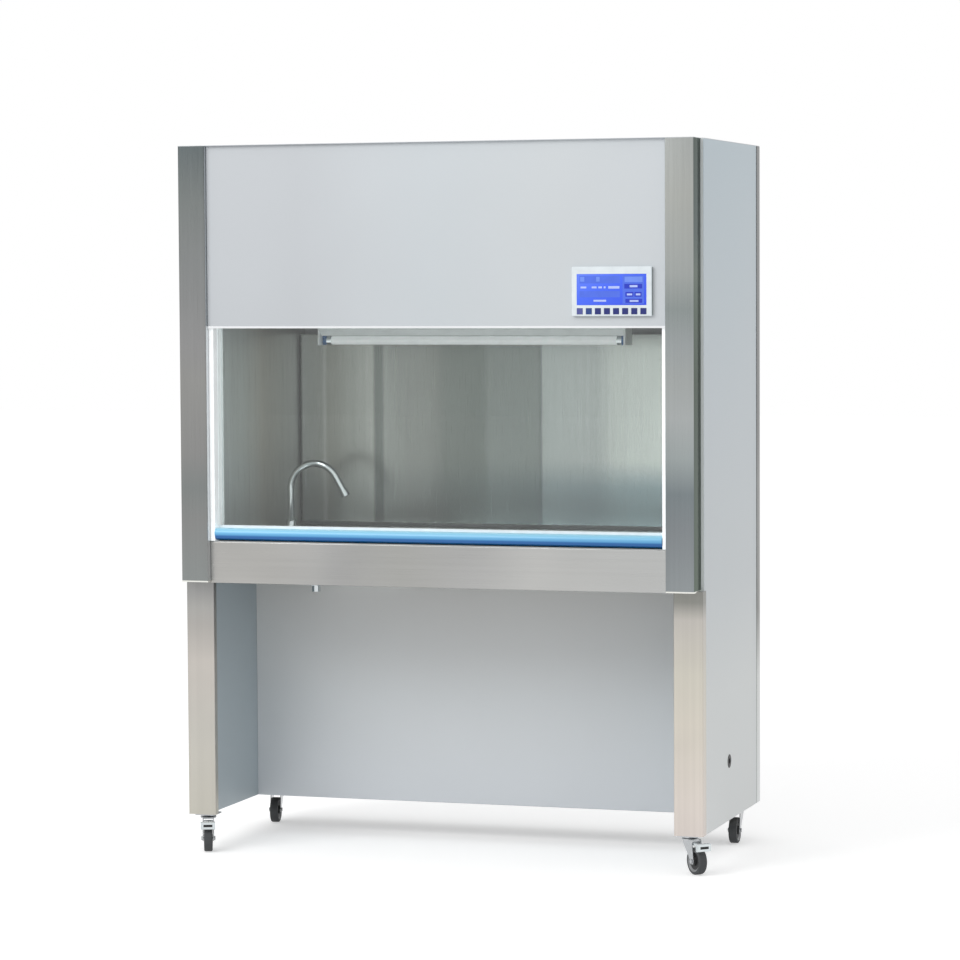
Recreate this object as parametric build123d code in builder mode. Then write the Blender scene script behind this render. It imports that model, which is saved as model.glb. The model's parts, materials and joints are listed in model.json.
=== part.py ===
from build123d import *
import os
from math import cos, radians, sin

# Walk-up fume hood on castors. Millimetres, +X to the right, front towards -Y, +Z up.
# The origin is on the floor, under the middle of the footprint.

os.makedirs("parts", exist_ok=True)

# Overall sizes
OVERALL_WIDTH = 1520        # over the lower posts and the rear corner strips
DEPTH = 740                 # from the columns' front faces to the rear strips
BODY_TOP = 2014             # top of the roof sheet above the floor
CASTOR_HEIGHT = 105         # floor to the underside of the cabinet
WORKTOP_Z = 896             # working surface above the floor
FASCIA_HEIGHT = 515         # top of the roof sheet to the lower edge of the fascia

# Sheet gauges and general clearances
THIN = 1.2                  # stainless sheet
PANEL = 1.5                 # painted sheet
WORKTOP_SHEET = 2.0
BEND = 2.5                  # outer radius of a fold
FIT = 0.3                   # gap between pieces that are set side by side
RUNNING = 0.08              # radial play of a pin in its bore

# Upper columns
COLUMN_SETIN = 10           # column's outer face inside the overall width
COLUMN_WIDTH = 80
COLUMN_DEPTH = 80
COLUMN_RETURN = 20          # depth of the inner return beside the opening
COLUMN_FLANGE = 15
COLUMN_DROP = 117           # below the worktop

# Side panels and rear strips
SIDE_FLANGE = 20
SIDE_REAR_FLANGE = 30
STRIP_SIDE = 40
STRIP_BACK = 30

# Lower posts, legs and knee space
POST_WIDTH = 83
POST_SETBACK = 58
POST_RETURN = 20
POST_SIDE = 36
LEG_WIDTH = 56              # outer face of the hood to the inner face of a leg
KNEE_DEPTH = 457
KNEE_TOP_GAP = 36           # knee panel's top edge below the frame's top
KNEE_FLANGE = 15
FRAME_TUBE = 40
TUBE_WALL = 2

# Fascia and apron
FASCIA_SETBACK = 12
FASCIA_FLANGE = 8
HEM_HEIGHT = 6
HEM_PROUD = 1.2
APRON_SETBACK = 22
APRON_FLANGE = 20
APRON_HEIGHT = 120          # worktop surface to the apron's lower edge

# Chamber
CHAMBER_INSET = 20          # liner's face inside the column's inner face
CEILING_RISE = 6            # ceiling above the fascia's lower edge
CEILING_FRONT = 72
CEILING_FLANGE = 25
PLENUM = 50                 # baffle's front face to the rear of the hood
BAFFLE_BOTTOM_GAP = 12
BAFFLE_TOP_GAP = 35
SPACER_RADIUS = 8
SPACER_INSET = 90           # from the liners, and from the baffle's top and bottom edges

# Sash, guides and handle bar
GUIDE_WIDTH = 14
GUIDE_FRONT = 21
GUIDE_GAP = 5.75            # from the guides' upper ends to the pulleys
SLOT_DEPTH = 6
GLASS_FRONT = 51
GLASS_THICKNESS = 5
SASH_PLAY = 0.5             # glass in its slot, and rails beside the guides
SASH_LAP = 30               # sash above the fascia's lower edge when it is shut
RAIL_DEPTH = 17
BOTTOM_RAIL_HEIGHT = 43
TOP_RAIL_HEIGHT = 30
RAIL_GRIP = 12              # how far the glass sits in each rail
RAIL_WALL = 2
BAR_FRONT = 15
BAR_HEIGHT = 34
BAR_LIFT = 1.8              # bar's underside above the rail's underside
BAR_WALL = 2.5
BAR_LIP = 5                 # drop from the bar's round nose to its finger lip

# Sash lift: pulleys, brackets and counterweights
ROPE_INSET = 30             # rope's clamp inside the column's inner face
ROPE_HOLE = 2
CLAMP_RADIUS = 6
CLAMP_HEIGHT = 10
WEIGHT_WIDTH = 48
WEIGHT_DEPTH = 46
WEIGHT_LENGTH = 390
WEIGHT_DROP = 89            # top of the weights below the roof when the sash is shut
PULLEY_DROP = 39            # pulley's axle below the roof
PULLEY_WIDTH = 12
PULLEY_GROOVE = 2.5
PULLEY_RIM = 1.5            # flat rim on each side of the groove
AXLE_RADIUS = 4
AXLE_HEAD_RADIUS = 6.4
AXLE_HEAD_THICKNESS = 2
BRACKET_WIDTH = 40
BRACKET_SHEET = 2.5
BRACKET_FLANGE = 20

# Sink, drain and faucet
SINK_INSET = 275            # centre of the sink from the left liner
SINK_DEPTH_AT = 445
SINK_LENGTH = 290
SINK_WIDTH = 230
SINK_BOWL = 150
SINK_CORNER = 25
SINK_FLOOR_ROUND = 8
SINK_RIM = 12
SINK_GAP = 1.0
DRAIN_OFFSET = (-115, -53)  # drain from the centre of the sink
DRAIN_FLANGE_RADIUS = 20
DRAIN_RADIUS = 12.5
DRAIN_BORE = 10
DRAIN_DROP = 23             # tail below the bowl
DRAIN_NUT = 19              # centre to corner
DRAIN_NUT_HEIGHT = 5
FAUCET_INSET = 47           # faucet from the left liner
FAUCET_DEPTH_AT = 490
FAUCET_TUBE = 10.5
FAUCET_BASE_RADIUS = 24
FAUCET_COLUMN_RADIUS = 14.5
FAUCET_COLUMN_HEIGHT = 30
FAUCET_SHANK = 10
SHANK_LENGTH = 30
SHANK_NUT = 16              # centre to corner
SHANK_NUT_HEIGHT = 10
ESCUTCHEON_EDGE = 3
ESCUTCHEON_SHOULDER = 8
ESCUTCHEON_TOP = 14
SPOUT_SOCKET = 22
SPOUT_HEIGHT = 121            # worktop to where the straight riser turns into the arch
SPOUT_ARCH = 76
SPOUT_TURN = 150            # degrees of arch before the straight nozzle end
SPOUT_TAIL = 46
NOZZLE_RADIUS = 12.5
NOZZLE_LENGTH = 20

# Lamp under the chamber ceiling
LAMP_HALF = 463
LAMP_DEPTH_AT = 386
LAMP_WIDTH = 70
LAMP_FOOT = 46
LAMP_HEIGHT = 33
LAMP_CAP = 6
TUBE_RADIUS = 13
TUBE_DROP = 47              # tube's axis below the ceiling
HOLDER_WIDTH = 12
HOLDER_SIZE = 27
TUBE_CHAMFER = 2.5

# Control panel
BEZEL_INSET = 150           # bezel's centre from the right column
BEZEL_RISE = 100            # bezel's centre above the fascia's lower edge
BEZEL_WIDTH = 226
BEZEL_HEIGHT = 135
BEZEL_FRONT = 2
BEZEL_SKIN = 2.5
BEZEL_WALL = 3
WINDOW_OFFSET = (-0.5, 5)   # window from the bezel's centre
WINDOW_WIDTH = 197
WINDOW_HEIGHT = 85
KEY_SIZE = 16.5
KEY_PITCH = 25.66
KEY_DROP = 54               # keys below the bezel's centre
KEY_COUNT = 8
KEY_PROUD = 1
KEY_FLANGE = 1.2            # thickness and reach of the flange behind the bezel
KEY_CORNER = 1.5
KEY_EDGE = 0.5
KEY_GAP = 0.35
BOARD_THICKNESS = 1.6
BOARD_FRONT = 8.2

# Roof and exhaust
COLLAR_RADIUS = 100
COLLAR_RISE = 12
COLLAR_DROP = 40

# Blower
BLOWER_DEPTH_AT = 295
BLOWER_DROP = 274           # shaft below the roof
SCROLL_RADIUS = 150
SCROLL_GROWTH = 20          # each quarter turn of the scroll is this much larger
SCROLL_WIDTH = 208
SCROLL_SHEET = 2
INLET_RADIUS = 88
IMPELLER_RADIUS = 118
IMPELLER_WIDTH = 128
BLADE_COUNT = 24
BLADE_DEPTH = 26
BLADE_SHEET = 1.6
BLADE_LEAN = 25             # degrees from the radius
ROTOR_HUB_RADIUS = 21
ROTOR_HUB_LENGTH = 40
SHAFT_RADIUS = 7
MOTOR_RADIUS = 62
MOTOR_LENGTH = 150
MOTOR_FLANGE = 80
MOTOR_CHAMFER = 8
SHAFT_IN_MOTOR = 80
SHAFT_HOLE = 14
FOOT_WIDTH = 40
FOOT_LENGTH = 160

# Castors
WHEEL_RADIUS = 37.5
WHEEL_WIDTH = 24
TYRE_DEPTH = 8
TREAD_EDGE = 3
WEB_RECESS = 4
HUB_RADIUS = 13
HUB_WIDTH = 25.5
CASTOR_SIDE_INSET = 46      # swivel axis from the outer face of the hood
CASTOR_INSET = 92           # from the front plane, and from the rear plane
CASTOR_TRAIL = 38
PLATE_WIDTH = 60
PLATE_DEPTH = 64
PLATE_SHEET = 3
PLATE_CORNER = 6
RACE_RADIUS = 22
RACE_HEIGHT = 6
RACE_TAPER = 20
CROWN_SHEET = 4
CROWN_RADIUS = 23
FORK_SHEET = 2.5
FORK_GAP = 1
KINGPIN_RADIUS = 5
KINGPIN_HEAD = 8
AXLE_BOLT = 4
AXLE_BOSS = 8.8
AXLE_NUT = 6.8              # centre to corner
PEDAL_PIVOT = (-12, 82)     # forward of the swivel axis, above the floor
PEDAL_PIN = 2.5
PEDAL_HUB = 4
PEDAL_REACH = 68            # swivel axis to the back of the toe
PEDAL_RISE = 8              # toe's top above the pivot
PEDAL_SHEET = 3
TOE_WIDTH = 42
TOE_DEPTH = 12
TOE_HEIGHT = 22
TOE_ROUND = 3
TREAD_WIDTH = 26            # slot in the toe for its rubber tread
TREAD_HEIGHT = 7
TREAD_DEPTH = 5
TURNS = {"front_left": 21, "front_right": 44, "rear_left": 10, "rear_right": 2}

# Gland on the right side panel
GLAND_DEPTH_AT = 364
GLAND_RISE = 168.5          # above the underside of the cabinet
GLAND_RADIUS = 19
GLAND_NECK = 14
GLAND_BORE = 8
GLAND_INSIDE = 12

# Values that several pieces share
HALF_WIDTH = OVERALL_WIDTH / 2
SIDE_OUTER = HALF_WIDTH - THIN
SIDE_INNER = SIDE_OUTER - PANEL
COLUMN_OUTER = HALF_WIDTH - COLUMN_SETIN
COLUMN_INNER = COLUMN_OUTER - COLUMN_WIDTH
COLUMN_BOTTOM = WORKTOP_Z - COLUMN_DROP
APRON_BOTTOM = WORKTOP_Z - APRON_HEIGHT
OPENING_TOP = BODY_TOP - FASCIA_HEIGHT
ROOF_UNDERSIDE = BODY_TOP - PANEL
LEG_INNER = HALF_WIDTH - LEG_WIDTH
CHAMBER_HALF = COLUMN_INNER - CHAMBER_INSET
CEILING_Z = OPENING_TOP + CEILING_RISE
BAFFLE_DEPTH = DEPTH - PLENUM
SASH_TOP = OPENING_TOP + SASH_LAP
SIDE_REAR = DEPTH - THIN
REAR_PANEL_OUT = SIDE_REAR - PANEL
REAR_PANEL_IN = REAR_PANEL_OUT - PANEL
POST_INNER = HALF_WIDTH - POST_WIDTH
GUIDE_INNER = COLUMN_INNER - GUIDE_WIDTH
GUIDE_DEPTH = COLUMN_DEPTH - GUIDE_FRONT
SASH_BOTTOM = WORKTOP_Z + FIT
RAIL_FRONT = GLASS_FRONT + GLASS_THICKNESS / 2 - RAIL_DEPTH / 2
RAIL_HALF = GUIDE_INNER - SASH_PLAY
FRAME_FRONT = COLUMN_DEPTH + PANEL + FIT
FRAME_X = (LEG_INNER + PANEL + FIT, SIDE_INNER - FIT)
FRAME_TOP = APRON_BOTTOM
KNEE_TOP = FRAME_TOP - KNEE_TOP_GAP
CEILING_TOP = CEILING_Z + THIN
ROPE_DEPTH = GLASS_FRONT + GLASS_THICKNESS / 2
ROPE_SASH_X = COLUMN_INNER - ROPE_INSET
WEIGHT_X = COLUMN_INNER + THIN + FIT + WEIGHT_WIDTH / 2
PULLEY_X = (ROPE_SASH_X + WEIGHT_X) / 2
PULLEY_RADIUS = (WEIGHT_X - ROPE_SASH_X) / 2 + PULLEY_GROOVE
PULLEY_Z = BODY_TOP - PULLEY_DROP
GUIDE_TOP = PULLEY_Z - PULLEY_RADIUS - GUIDE_GAP
SINK_X = SINK_INSET - CHAMBER_HALF
DRAIN_X = SINK_X + DRAIN_OFFSET[0]
DRAIN_DEPTH_AT = SINK_DEPTH_AT + DRAIN_OFFSET[1]
FAUCET_X = FAUCET_INSET - CHAMBER_HALF
FAUCET_COLUMN_TOP = WORKTOP_Z + FAUCET_COLUMN_HEIGHT
TUBE_Z = CEILING_Z - TUBE_DROP
BEZEL_X = COLUMN_INNER - BEZEL_INSET
BEZEL_Z = OPENING_TOP + BEZEL_RISE
WINDOW_X = BEZEL_X + WINDOW_OFFSET[0]
WINDOW_Z = BEZEL_Z + WINDOW_OFFSET[1]
KEY_Z = BEZEL_Z - KEY_DROP
BLOWER_Z = BODY_TOP - BLOWER_DROP
GLAND_Z = CASTOR_HEIGHT + GLAND_RISE
CASTOR_X = HALF_WIDTH - CASTOR_SIDE_INSET
ACROSS = Plane(origin=(0, 0, 0), x_dir=(0, 1, 0), z_dir=(1, 0, 0))
LEFT, RIGHT = -1, 1


def front(depth):
    """Y of a point that lies depth behind the columns' front faces."""
    return depth - DEPTH / 2


def save(piece, name):
    """Label a finished piece and write it to its own file."""
    piece.part.label = name
    export_step(piece.part, f"parts/{name}.step")


def sheet_outline(points, thickness, side):
    """Section of a folded sheet whose outer faces follow the points, each fold with its radius."""
    with BuildSketch() as outline:
        with BuildLine():
            FilletPolyline(*points, radius=BEND)
            offset(amount=thickness, side=side, closed=True, kind=Kind.INTERSECTION)
        make_face()
    return outline.sketch


def inward(sign):
    """Side of a plan outline that faces the inside of the cabinet."""
    return Side.LEFT if sign == RIGHT else Side.RIGHT


def outward(sign):
    """Side of a liner's plan outline that faces away from the space it lines."""
    return Side.RIGHT if sign == RIGHT else Side.LEFT


def gland_plane():
    """Outer face of the right side panel, centred on the gland."""
    return Plane(origin=(SIDE_OUTER, front(GLAND_DEPTH_AT), GLAND_Z), x_dir=(0, 1, 0), z_dir=(1, 0, 0))


def side_name(sign):
    """Name of one side of the cabinet."""
    return "right" if sign == RIGHT else "left"


# Upper columns: folded channels, open towards the inside, closed at the lower end
def upper_column(sign):
    outline = [
        (sign * COLUMN_INNER, front(COLUMN_RETURN)),
        (sign * COLUMN_INNER, front(0)),
        (sign * COLUMN_OUTER, front(0)),
        (sign * COLUMN_OUTER, front(COLUMN_DEPTH)),
        (sign * (COLUMN_OUTER - COLUMN_FLANGE), front(COLUMN_DEPTH)),
    ]
    with BuildPart() as column:
        with BuildSketch(Plane.XY.offset(COLUMN_BOTTOM)):
            add(sheet_outline(outline, THIN, inward(sign)))
        extrude(amount=ROOF_UNDERSIDE - COLUMN_BOTTOM)
        with BuildSketch(Plane.XY.offset(COLUMN_BOTTOM)):
            with Locations((sign * (COLUMN_INNER + COLUMN_WIDTH / 2), front(COLUMN_DEPTH / 2))):
                Rectangle(COLUMN_WIDTH, COLUMN_DEPTH)
        extrude(amount=THIN)
    save(column, f"{side_name(sign)}_upper_column")


# Side panels: one folded sheet from the castors to the roof
def side_panel(sign):
    outline = [
        (sign * (SIDE_OUTER - SIDE_FLANGE), front(COLUMN_DEPTH)),
        (sign * SIDE_OUTER, front(COLUMN_DEPTH)),
        (sign * SIDE_OUTER, front(SIDE_REAR)),
        (sign * (SIDE_OUTER - SIDE_REAR_FLANGE), front(SIDE_REAR)),
    ]
    with BuildPart() as panel:
        with BuildSketch(Plane.XY.offset(CASTOR_HEIGHT)):
            add(sheet_outline(outline, PANEL, inward(sign)))
        extrude(amount=ROOF_UNDERSIDE - CASTOR_HEIGHT)
        with BuildSketch(Plane.XY.offset(ROOF_UNDERSIDE - PANEL)):
            with Locations((sign * (SIDE_OUTER - SIDE_FLANGE / 2), front((COLUMN_DEPTH + SIDE_REAR) / 2))):
                Rectangle(SIDE_FLANGE, SIDE_REAR - COLUMN_DEPTH)
        extrude(amount=PANEL)
        if sign == RIGHT:
            with BuildSketch(gland_plane()):
                Circle(GLAND_NECK + FIT)
            extrude(amount=-2 * PANEL, mode=Mode.SUBTRACT)
    save(panel, f"{side_name(sign)}_side_panel")


# Lower posts: stainless channels under the columns, set back and a little wider
def lower_post(sign):
    outline = [
        (sign * POST_INNER, front(POST_SETBACK + POST_RETURN)),
        (sign * POST_INNER, front(POST_SETBACK)),
        (sign * HALF_WIDTH, front(POST_SETBACK)),
        (sign * HALF_WIDTH, front(POST_SETBACK + POST_SIDE)),
    ]
    with BuildPart() as post:
        with BuildSketch(Plane.XY.offset(CASTOR_HEIGHT)):
            add(sheet_outline(outline, THIN, inward(sign)))
        extrude(amount=COLUMN_BOTTOM - CASTOR_HEIGHT)
        with BuildSketch(Plane.XY.offset(CASTOR_HEIGHT)):
            with Locations((sign * (HALF_WIDTH - POST_WIDTH / 2), front(POST_SETBACK + POST_RETURN / 2))):
                Rectangle(POST_WIDTH, POST_RETURN)
        extrude(amount=THIN)
    save(post, f"{side_name(sign)}_lower_post")


# Leg liners: the inner face of each leg, from the post's return to the rear panel
def leg_liner(sign):
    flange_back = POST_SETBACK + POST_RETURN + PANEL
    outline = [
        (sign * POST_INNER, front(flange_back)),
        (sign * LEG_INNER, front(flange_back)),
        (sign * LEG_INNER, front(REAR_PANEL_IN)),
        (sign * (LEG_INNER + SIDE_FLANGE), front(REAR_PANEL_IN)),
    ]
    with BuildPart() as liner:
        with BuildSketch(Plane.XY.offset(CASTOR_HEIGHT)):
            add(sheet_outline(outline, PANEL, outward(sign)))
        extrude(amount=FRAME_TOP - CASTOR_HEIGHT)
    save(liner, f"{side_name(sign)}_leg_liner")


for hand in (LEFT, RIGHT):
    upper_column(hand)
    side_panel(hand)
    lower_post(hand)
    leg_liner(hand)

# Rear corner strips: bright angles over the rear edges of both side panels
with BuildPart() as rear_corner_strips:
    with BuildSketch(Plane.XY.offset(CASTOR_HEIGHT)):
        for hand in (LEFT, RIGHT):
            strip = [
                (hand * HALF_WIDTH, front(DEPTH - STRIP_SIDE)),
                (hand * HALF_WIDTH, front(DEPTH)),
                (hand * (HALF_WIDTH - STRIP_BACK), front(DEPTH)),
            ]
            add(sheet_outline(strip, THIN, inward(hand)))
    extrude(amount=ROOF_UNDERSIDE - CASTOR_HEIGHT)
save(rear_corner_strips, "rear_corner_strips")


# Base frame: a welded rectangle of tube in each leg, and two cross tubes between them
def tube_section(width, height):
    """Closed rectangular tube section."""
    with BuildSketch() as section:
        Rectangle(width, height)
        Rectangle(width - 2 * TUBE_WALL, height - 2 * TUBE_WALL, mode=Mode.SUBTRACT)
    return section.sketch


frame_width = FRAME_X[1] - FRAME_X[0]
frame_centre = (FRAME_X[0] + FRAME_X[1]) / 2
frame_length = REAR_PANEL_IN - PANEL - FIT - FRAME_FRONT
upright_height = FRAME_TOP - CASTOR_HEIGHT - 2 * FRAME_TUBE
with BuildPart() as base_frame:
    for hand in (LEFT, RIGHT):
        for rail_z in (CASTOR_HEIGHT + FRAME_TUBE / 2, FRAME_TOP - FRAME_TUBE / 2):
            rail_plane = Plane(
                origin=(hand * frame_centre, front(FRAME_FRONT), rail_z), x_dir=(-1, 0, 0), z_dir=(0, 1, 0)
            )
            with BuildSketch(rail_plane):
                add(tube_section(frame_width, FRAME_TUBE))
            extrude(amount=frame_length)
        for depth in (FRAME_FRONT + FRAME_TUBE / 2, FRAME_FRONT + frame_length - FRAME_TUBE / 2):
            upright_plane = Plane(origin=(hand * frame_centre, front(depth), CASTOR_HEIGHT + FRAME_TUBE))
            with BuildSketch(upright_plane):
                add(tube_section(frame_width, FRAME_TUBE))
            extrude(amount=upright_height)
    for cross_z in (CASTOR_HEIGHT + FRAME_TUBE / 2, KNEE_TOP - FRAME_TUBE / 2):
        cross_depth = FRAME_FRONT + frame_length - FRAME_TUBE / 2
        with BuildSketch(Plane(origin=(0, front(cross_depth), cross_z), x_dir=(0, 1, 0), z_dir=(1, 0, 0))):
            add(tube_section(FRAME_TUBE, FRAME_TUBE))
        extrude(amount=LEG_INNER - FIT, both=True)
save(base_frame, "base_frame")

# Knee-space back panel, with flanges turned to the rear at both edges
with BuildPart() as knee_back_panel:
    knee_outline = [
        (front(KNEE_DEPTH + KNEE_FLANGE), CASTOR_HEIGHT),
        (front(KNEE_DEPTH), CASTOR_HEIGHT),
        (front(KNEE_DEPTH), KNEE_TOP),
        (front(KNEE_DEPTH + KNEE_FLANGE), KNEE_TOP),
    ]
    with BuildSketch(ACROSS):
        add(sheet_outline(knee_outline, PANEL, Side.RIGHT))
    extrude(amount=LEG_INNER - FIT, both=True)
save(knee_back_panel, "knee_back_panel")

# Fascia: painted front sheet above the opening, with a hem along its lower edge
with BuildPart() as fascia:
    fascia_half = COLUMN_INNER - FIT
    fascia_outline = [
        (-fascia_half, front(FASCIA_SETBACK + FASCIA_FLANGE)),
        (-fascia_half, front(FASCIA_SETBACK)),
        (fascia_half, front(FASCIA_SETBACK)),
        (fascia_half, front(FASCIA_SETBACK + FASCIA_FLANGE)),
    ]
    with BuildSketch(Plane.XY.offset(OPENING_TOP)):
        add(sheet_outline(fascia_outline, PANEL, Side.LEFT))
    extrude(amount=ROOF_UNDERSIDE - OPENING_TOP)
    for flange_z in (OPENING_TOP, ROOF_UNDERSIDE - PANEL):
        with BuildSketch(Plane.XY.offset(flange_z)):
            with Locations((0, front(FASCIA_SETBACK + FASCIA_FLANGE / 2))):
                Rectangle(2 * fascia_half, FASCIA_FLANGE)
        extrude(amount=PANEL)
    with BuildSketch(Plane.XY.offset(OPENING_TOP)):
        with Locations((0, front(FASCIA_SETBACK - HEM_PROUD / 2))):
            Rectangle(2 * fascia_half, HEM_PROUD)
    extrude(amount=HEM_HEIGHT)
save(fascia, "fascia")

# Rear panel, screwed on behind the side panels' flanges
with BuildPart() as rear_panel:
    with BuildSketch(Plane.XY.offset(CASTOR_HEIGHT)):
        with Locations((0, front(REAR_PANEL_OUT - PANEL / 2))):
            Rectangle(2 * (SIDE_INNER - BEND), PANEL)
    extrude(amount=ROOF_UNDERSIDE - PANEL - FIT - CASTOR_HEIGHT)
save(rear_panel, "rear_panel")

# Roof, notched at the front corners, with the exhaust collar set in it
collar_depth = BLOWER_DEPTH_AT + (SCROLL_RADIUS + 3 * SCROLL_GROWTH) / 2
with BuildPart() as roof_panel:
    with BuildSketch(Plane.XY.offset(ROOF_UNDERSIDE)):
        with BuildLine():
            Polyline(
                (-COLUMN_OUTER, front(0)),
                (COLUMN_OUTER, front(0)),
                (COLUMN_OUTER, front(COLUMN_DEPTH)),
                (SIDE_OUTER, front(COLUMN_DEPTH)),
                (SIDE_OUTER, front(SIDE_REAR)),
                (-SIDE_OUTER, front(SIDE_REAR)),
                (-SIDE_OUTER, front(COLUMN_DEPTH)),
                (-COLUMN_OUTER, front(COLUMN_DEPTH)),
                close=True,
            )
        make_face()
        with Locations((0, front(collar_depth))):
            Circle(COLLAR_RADIUS, mode=Mode.SUBTRACT)
    extrude(amount=PANEL)
    with BuildSketch(Plane.XY.offset(ROOF_UNDERSIDE - COLLAR_DROP)):
        with Locations((0, front(collar_depth))):
            Circle(COLLAR_RADIUS + THIN)
            Circle(COLLAR_RADIUS, mode=Mode.SUBTRACT)
    extrude(amount=COLLAR_DROP + PANEL + COLLAR_RISE)
save(roof_panel, "roof_panel")

# Worktop: a sheet with skirts that stand on the leg frames, and a sink cut-out
skirt = CHAMBER_HALF + WORKTOP_SHEET
foot_x = FRAME_X[1] - FRAME_TUBE / 2
with BuildPart() as worktop:
    worktop_outline = [
        (-foot_x, FRAME_TOP + WORKTOP_SHEET),
        (-skirt, FRAME_TOP + WORKTOP_SHEET),
        (-skirt, WORKTOP_Z),
        (skirt, WORKTOP_Z),
        (skirt, FRAME_TOP + WORKTOP_SHEET),
        (foot_x, FRAME_TOP + WORKTOP_SHEET),
    ]
    with BuildSketch(Plane(origin=(0, front(FRAME_FRONT), 0), x_dir=(-1, 0, 0), z_dir=(0, 1, 0))):
        add(sheet_outline(worktop_outline, WORKTOP_SHEET, Side.RIGHT))
    extrude(amount=frame_length)
    with BuildSketch(Plane.XY.offset(WORKTOP_Z - WORKTOP_SHEET)):
        with Locations((0, front((APRON_SETBACK + FRAME_FRONT) / 2))):
            Rectangle(2 * (COLUMN_INNER - FIT), FRAME_FRONT - APRON_SETBACK)
    extrude(amount=WORKTOP_SHEET)
    with BuildSketch(Plane.XY.offset(WORKTOP_Z)):
        with Locations((SINK_X, front(SINK_DEPTH_AT))):
            RectangleRounded(SINK_LENGTH + 2 * SINK_GAP, SINK_WIDTH + 2 * SINK_GAP, SINK_CORNER)
        with Locations((FAUCET_X, front(FAUCET_DEPTH_AT))):
            Circle(FAUCET_SHANK + FIT)
    extrude(amount=-2 * WORKTOP_SHEET, mode=Mode.SUBTRACT)
save(worktop, "worktop")

# Worktop apron, between the columns, under the worktop's front edge
with BuildPart() as worktop_apron:
    apron_top = WORKTOP_Z - WORKTOP_SHEET
    apron_outline = [
        (front(APRON_SETBACK + APRON_FLANGE), APRON_BOTTOM),
        (front(APRON_SETBACK), APRON_BOTTOM),
        (front(APRON_SETBACK), apron_top),
        (front(APRON_SETBACK + APRON_FLANGE), apron_top),
    ]
    with BuildSketch(ACROSS):
        add(sheet_outline(apron_outline, THIN, Side.RIGHT))
    extrude(amount=COLUMN_INNER - FIT, both=True)
save(worktop_apron, "worktop_apron")

# Sink: a pressed bowl hung by its rim
with BuildPart() as bowl_space:
    with BuildSketch(Plane.XY.offset(WORKTOP_Z + THIN)):
        with Locations((SINK_X, front(SINK_DEPTH_AT))):
            RectangleRounded(SINK_LENGTH - 2 * THIN, SINK_WIDTH - 2 * THIN, SINK_CORNER - THIN)
    extrude(amount=-SINK_BOWL)
    fillet(bowl_space.faces().sort_by(Axis.Z)[0].edges(), SINK_FLOOR_ROUND)

with BuildPart() as sink_basin:
    with BuildSketch(Plane.XY.offset(WORKTOP_Z)):
        with Locations((SINK_X, front(SINK_DEPTH_AT))):
            RectangleRounded(SINK_LENGTH + 2 * SINK_RIM, SINK_WIDTH + 2 * SINK_RIM, SINK_CORNER + SINK_RIM)
    extrude(amount=THIN)
    with BuildSketch(Plane.XY.offset(WORKTOP_Z)):
        with Locations((SINK_X, front(SINK_DEPTH_AT))):
            RectangleRounded(SINK_LENGTH, SINK_WIDTH, SINK_CORNER)
    extrude(amount=-SINK_BOWL)
    fillet(sink_basin.faces().sort_by(Axis.Z)[0].edges(), SINK_FLOOR_ROUND + THIN)
    add(bowl_space.part, mode=Mode.SUBTRACT)
    with BuildSketch(Plane.XY.offset(WORKTOP_Z)):
        with Locations((DRAIN_X, front(DRAIN_DEPTH_AT))):
            Circle(DRAIN_RADIUS + FIT)
    extrude(amount=-SINK_BOWL - THIN, mode=Mode.SUBTRACT)
save(sink_basin, "sink_basin")

# Drain: flange in the bowl, tail through it and a nut under it
bowl_bottom = WORKTOP_Z - SINK_BOWL
with BuildPart() as drain_tail:
    with BuildSketch(Plane.XY.offset(bowl_bottom - DRAIN_DROP)):
        with Locations((DRAIN_X, front(DRAIN_DEPTH_AT))):
            Circle(DRAIN_RADIUS)
            Circle(DRAIN_BORE, mode=Mode.SUBTRACT)
    extrude(amount=DRAIN_DROP + THIN)
    with BuildSketch(Plane.XY.offset(bowl_bottom + THIN)):
        with Locations((DRAIN_X, front(DRAIN_DEPTH_AT))):
            Circle(DRAIN_FLANGE_RADIUS)
            Circle(DRAIN_BORE, mode=Mode.SUBTRACT)
    extrude(amount=THIN)
    with BuildSketch(Plane.XY.offset(bowl_bottom)):
        with Locations((DRAIN_X, front(DRAIN_DEPTH_AT))):
            RegularPolygon(DRAIN_NUT, 6)
            Circle(DRAIN_RADIUS - THIN, mode=Mode.SUBTRACT)
    extrude(amount=-DRAIN_NUT_HEIGHT)
save(drain_tail, "drain_tail")


# Chamber liners: stainless sides that stand on the worktop
def chamber_liner(sign):
    outline = [
        (sign * (COLUMN_INNER - FIT), front(COLUMN_DEPTH)),
        (sign * CHAMBER_HALF, front(COLUMN_DEPTH)),
        (sign * CHAMBER_HALF, front(REAR_PANEL_IN - FIT)),
    ]
    with BuildPart() as liner:
        with BuildSketch(Plane.XY.offset(WORKTOP_Z)):
            add(sheet_outline(outline, THIN, outward(sign)))
        extrude(amount=CEILING_TOP + CEILING_FLANGE - WORKTOP_Z)
    save(liner, f"{side_name(sign)}_chamber_liner")


for hand in (LEFT, RIGHT):
    chamber_liner(hand)

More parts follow.
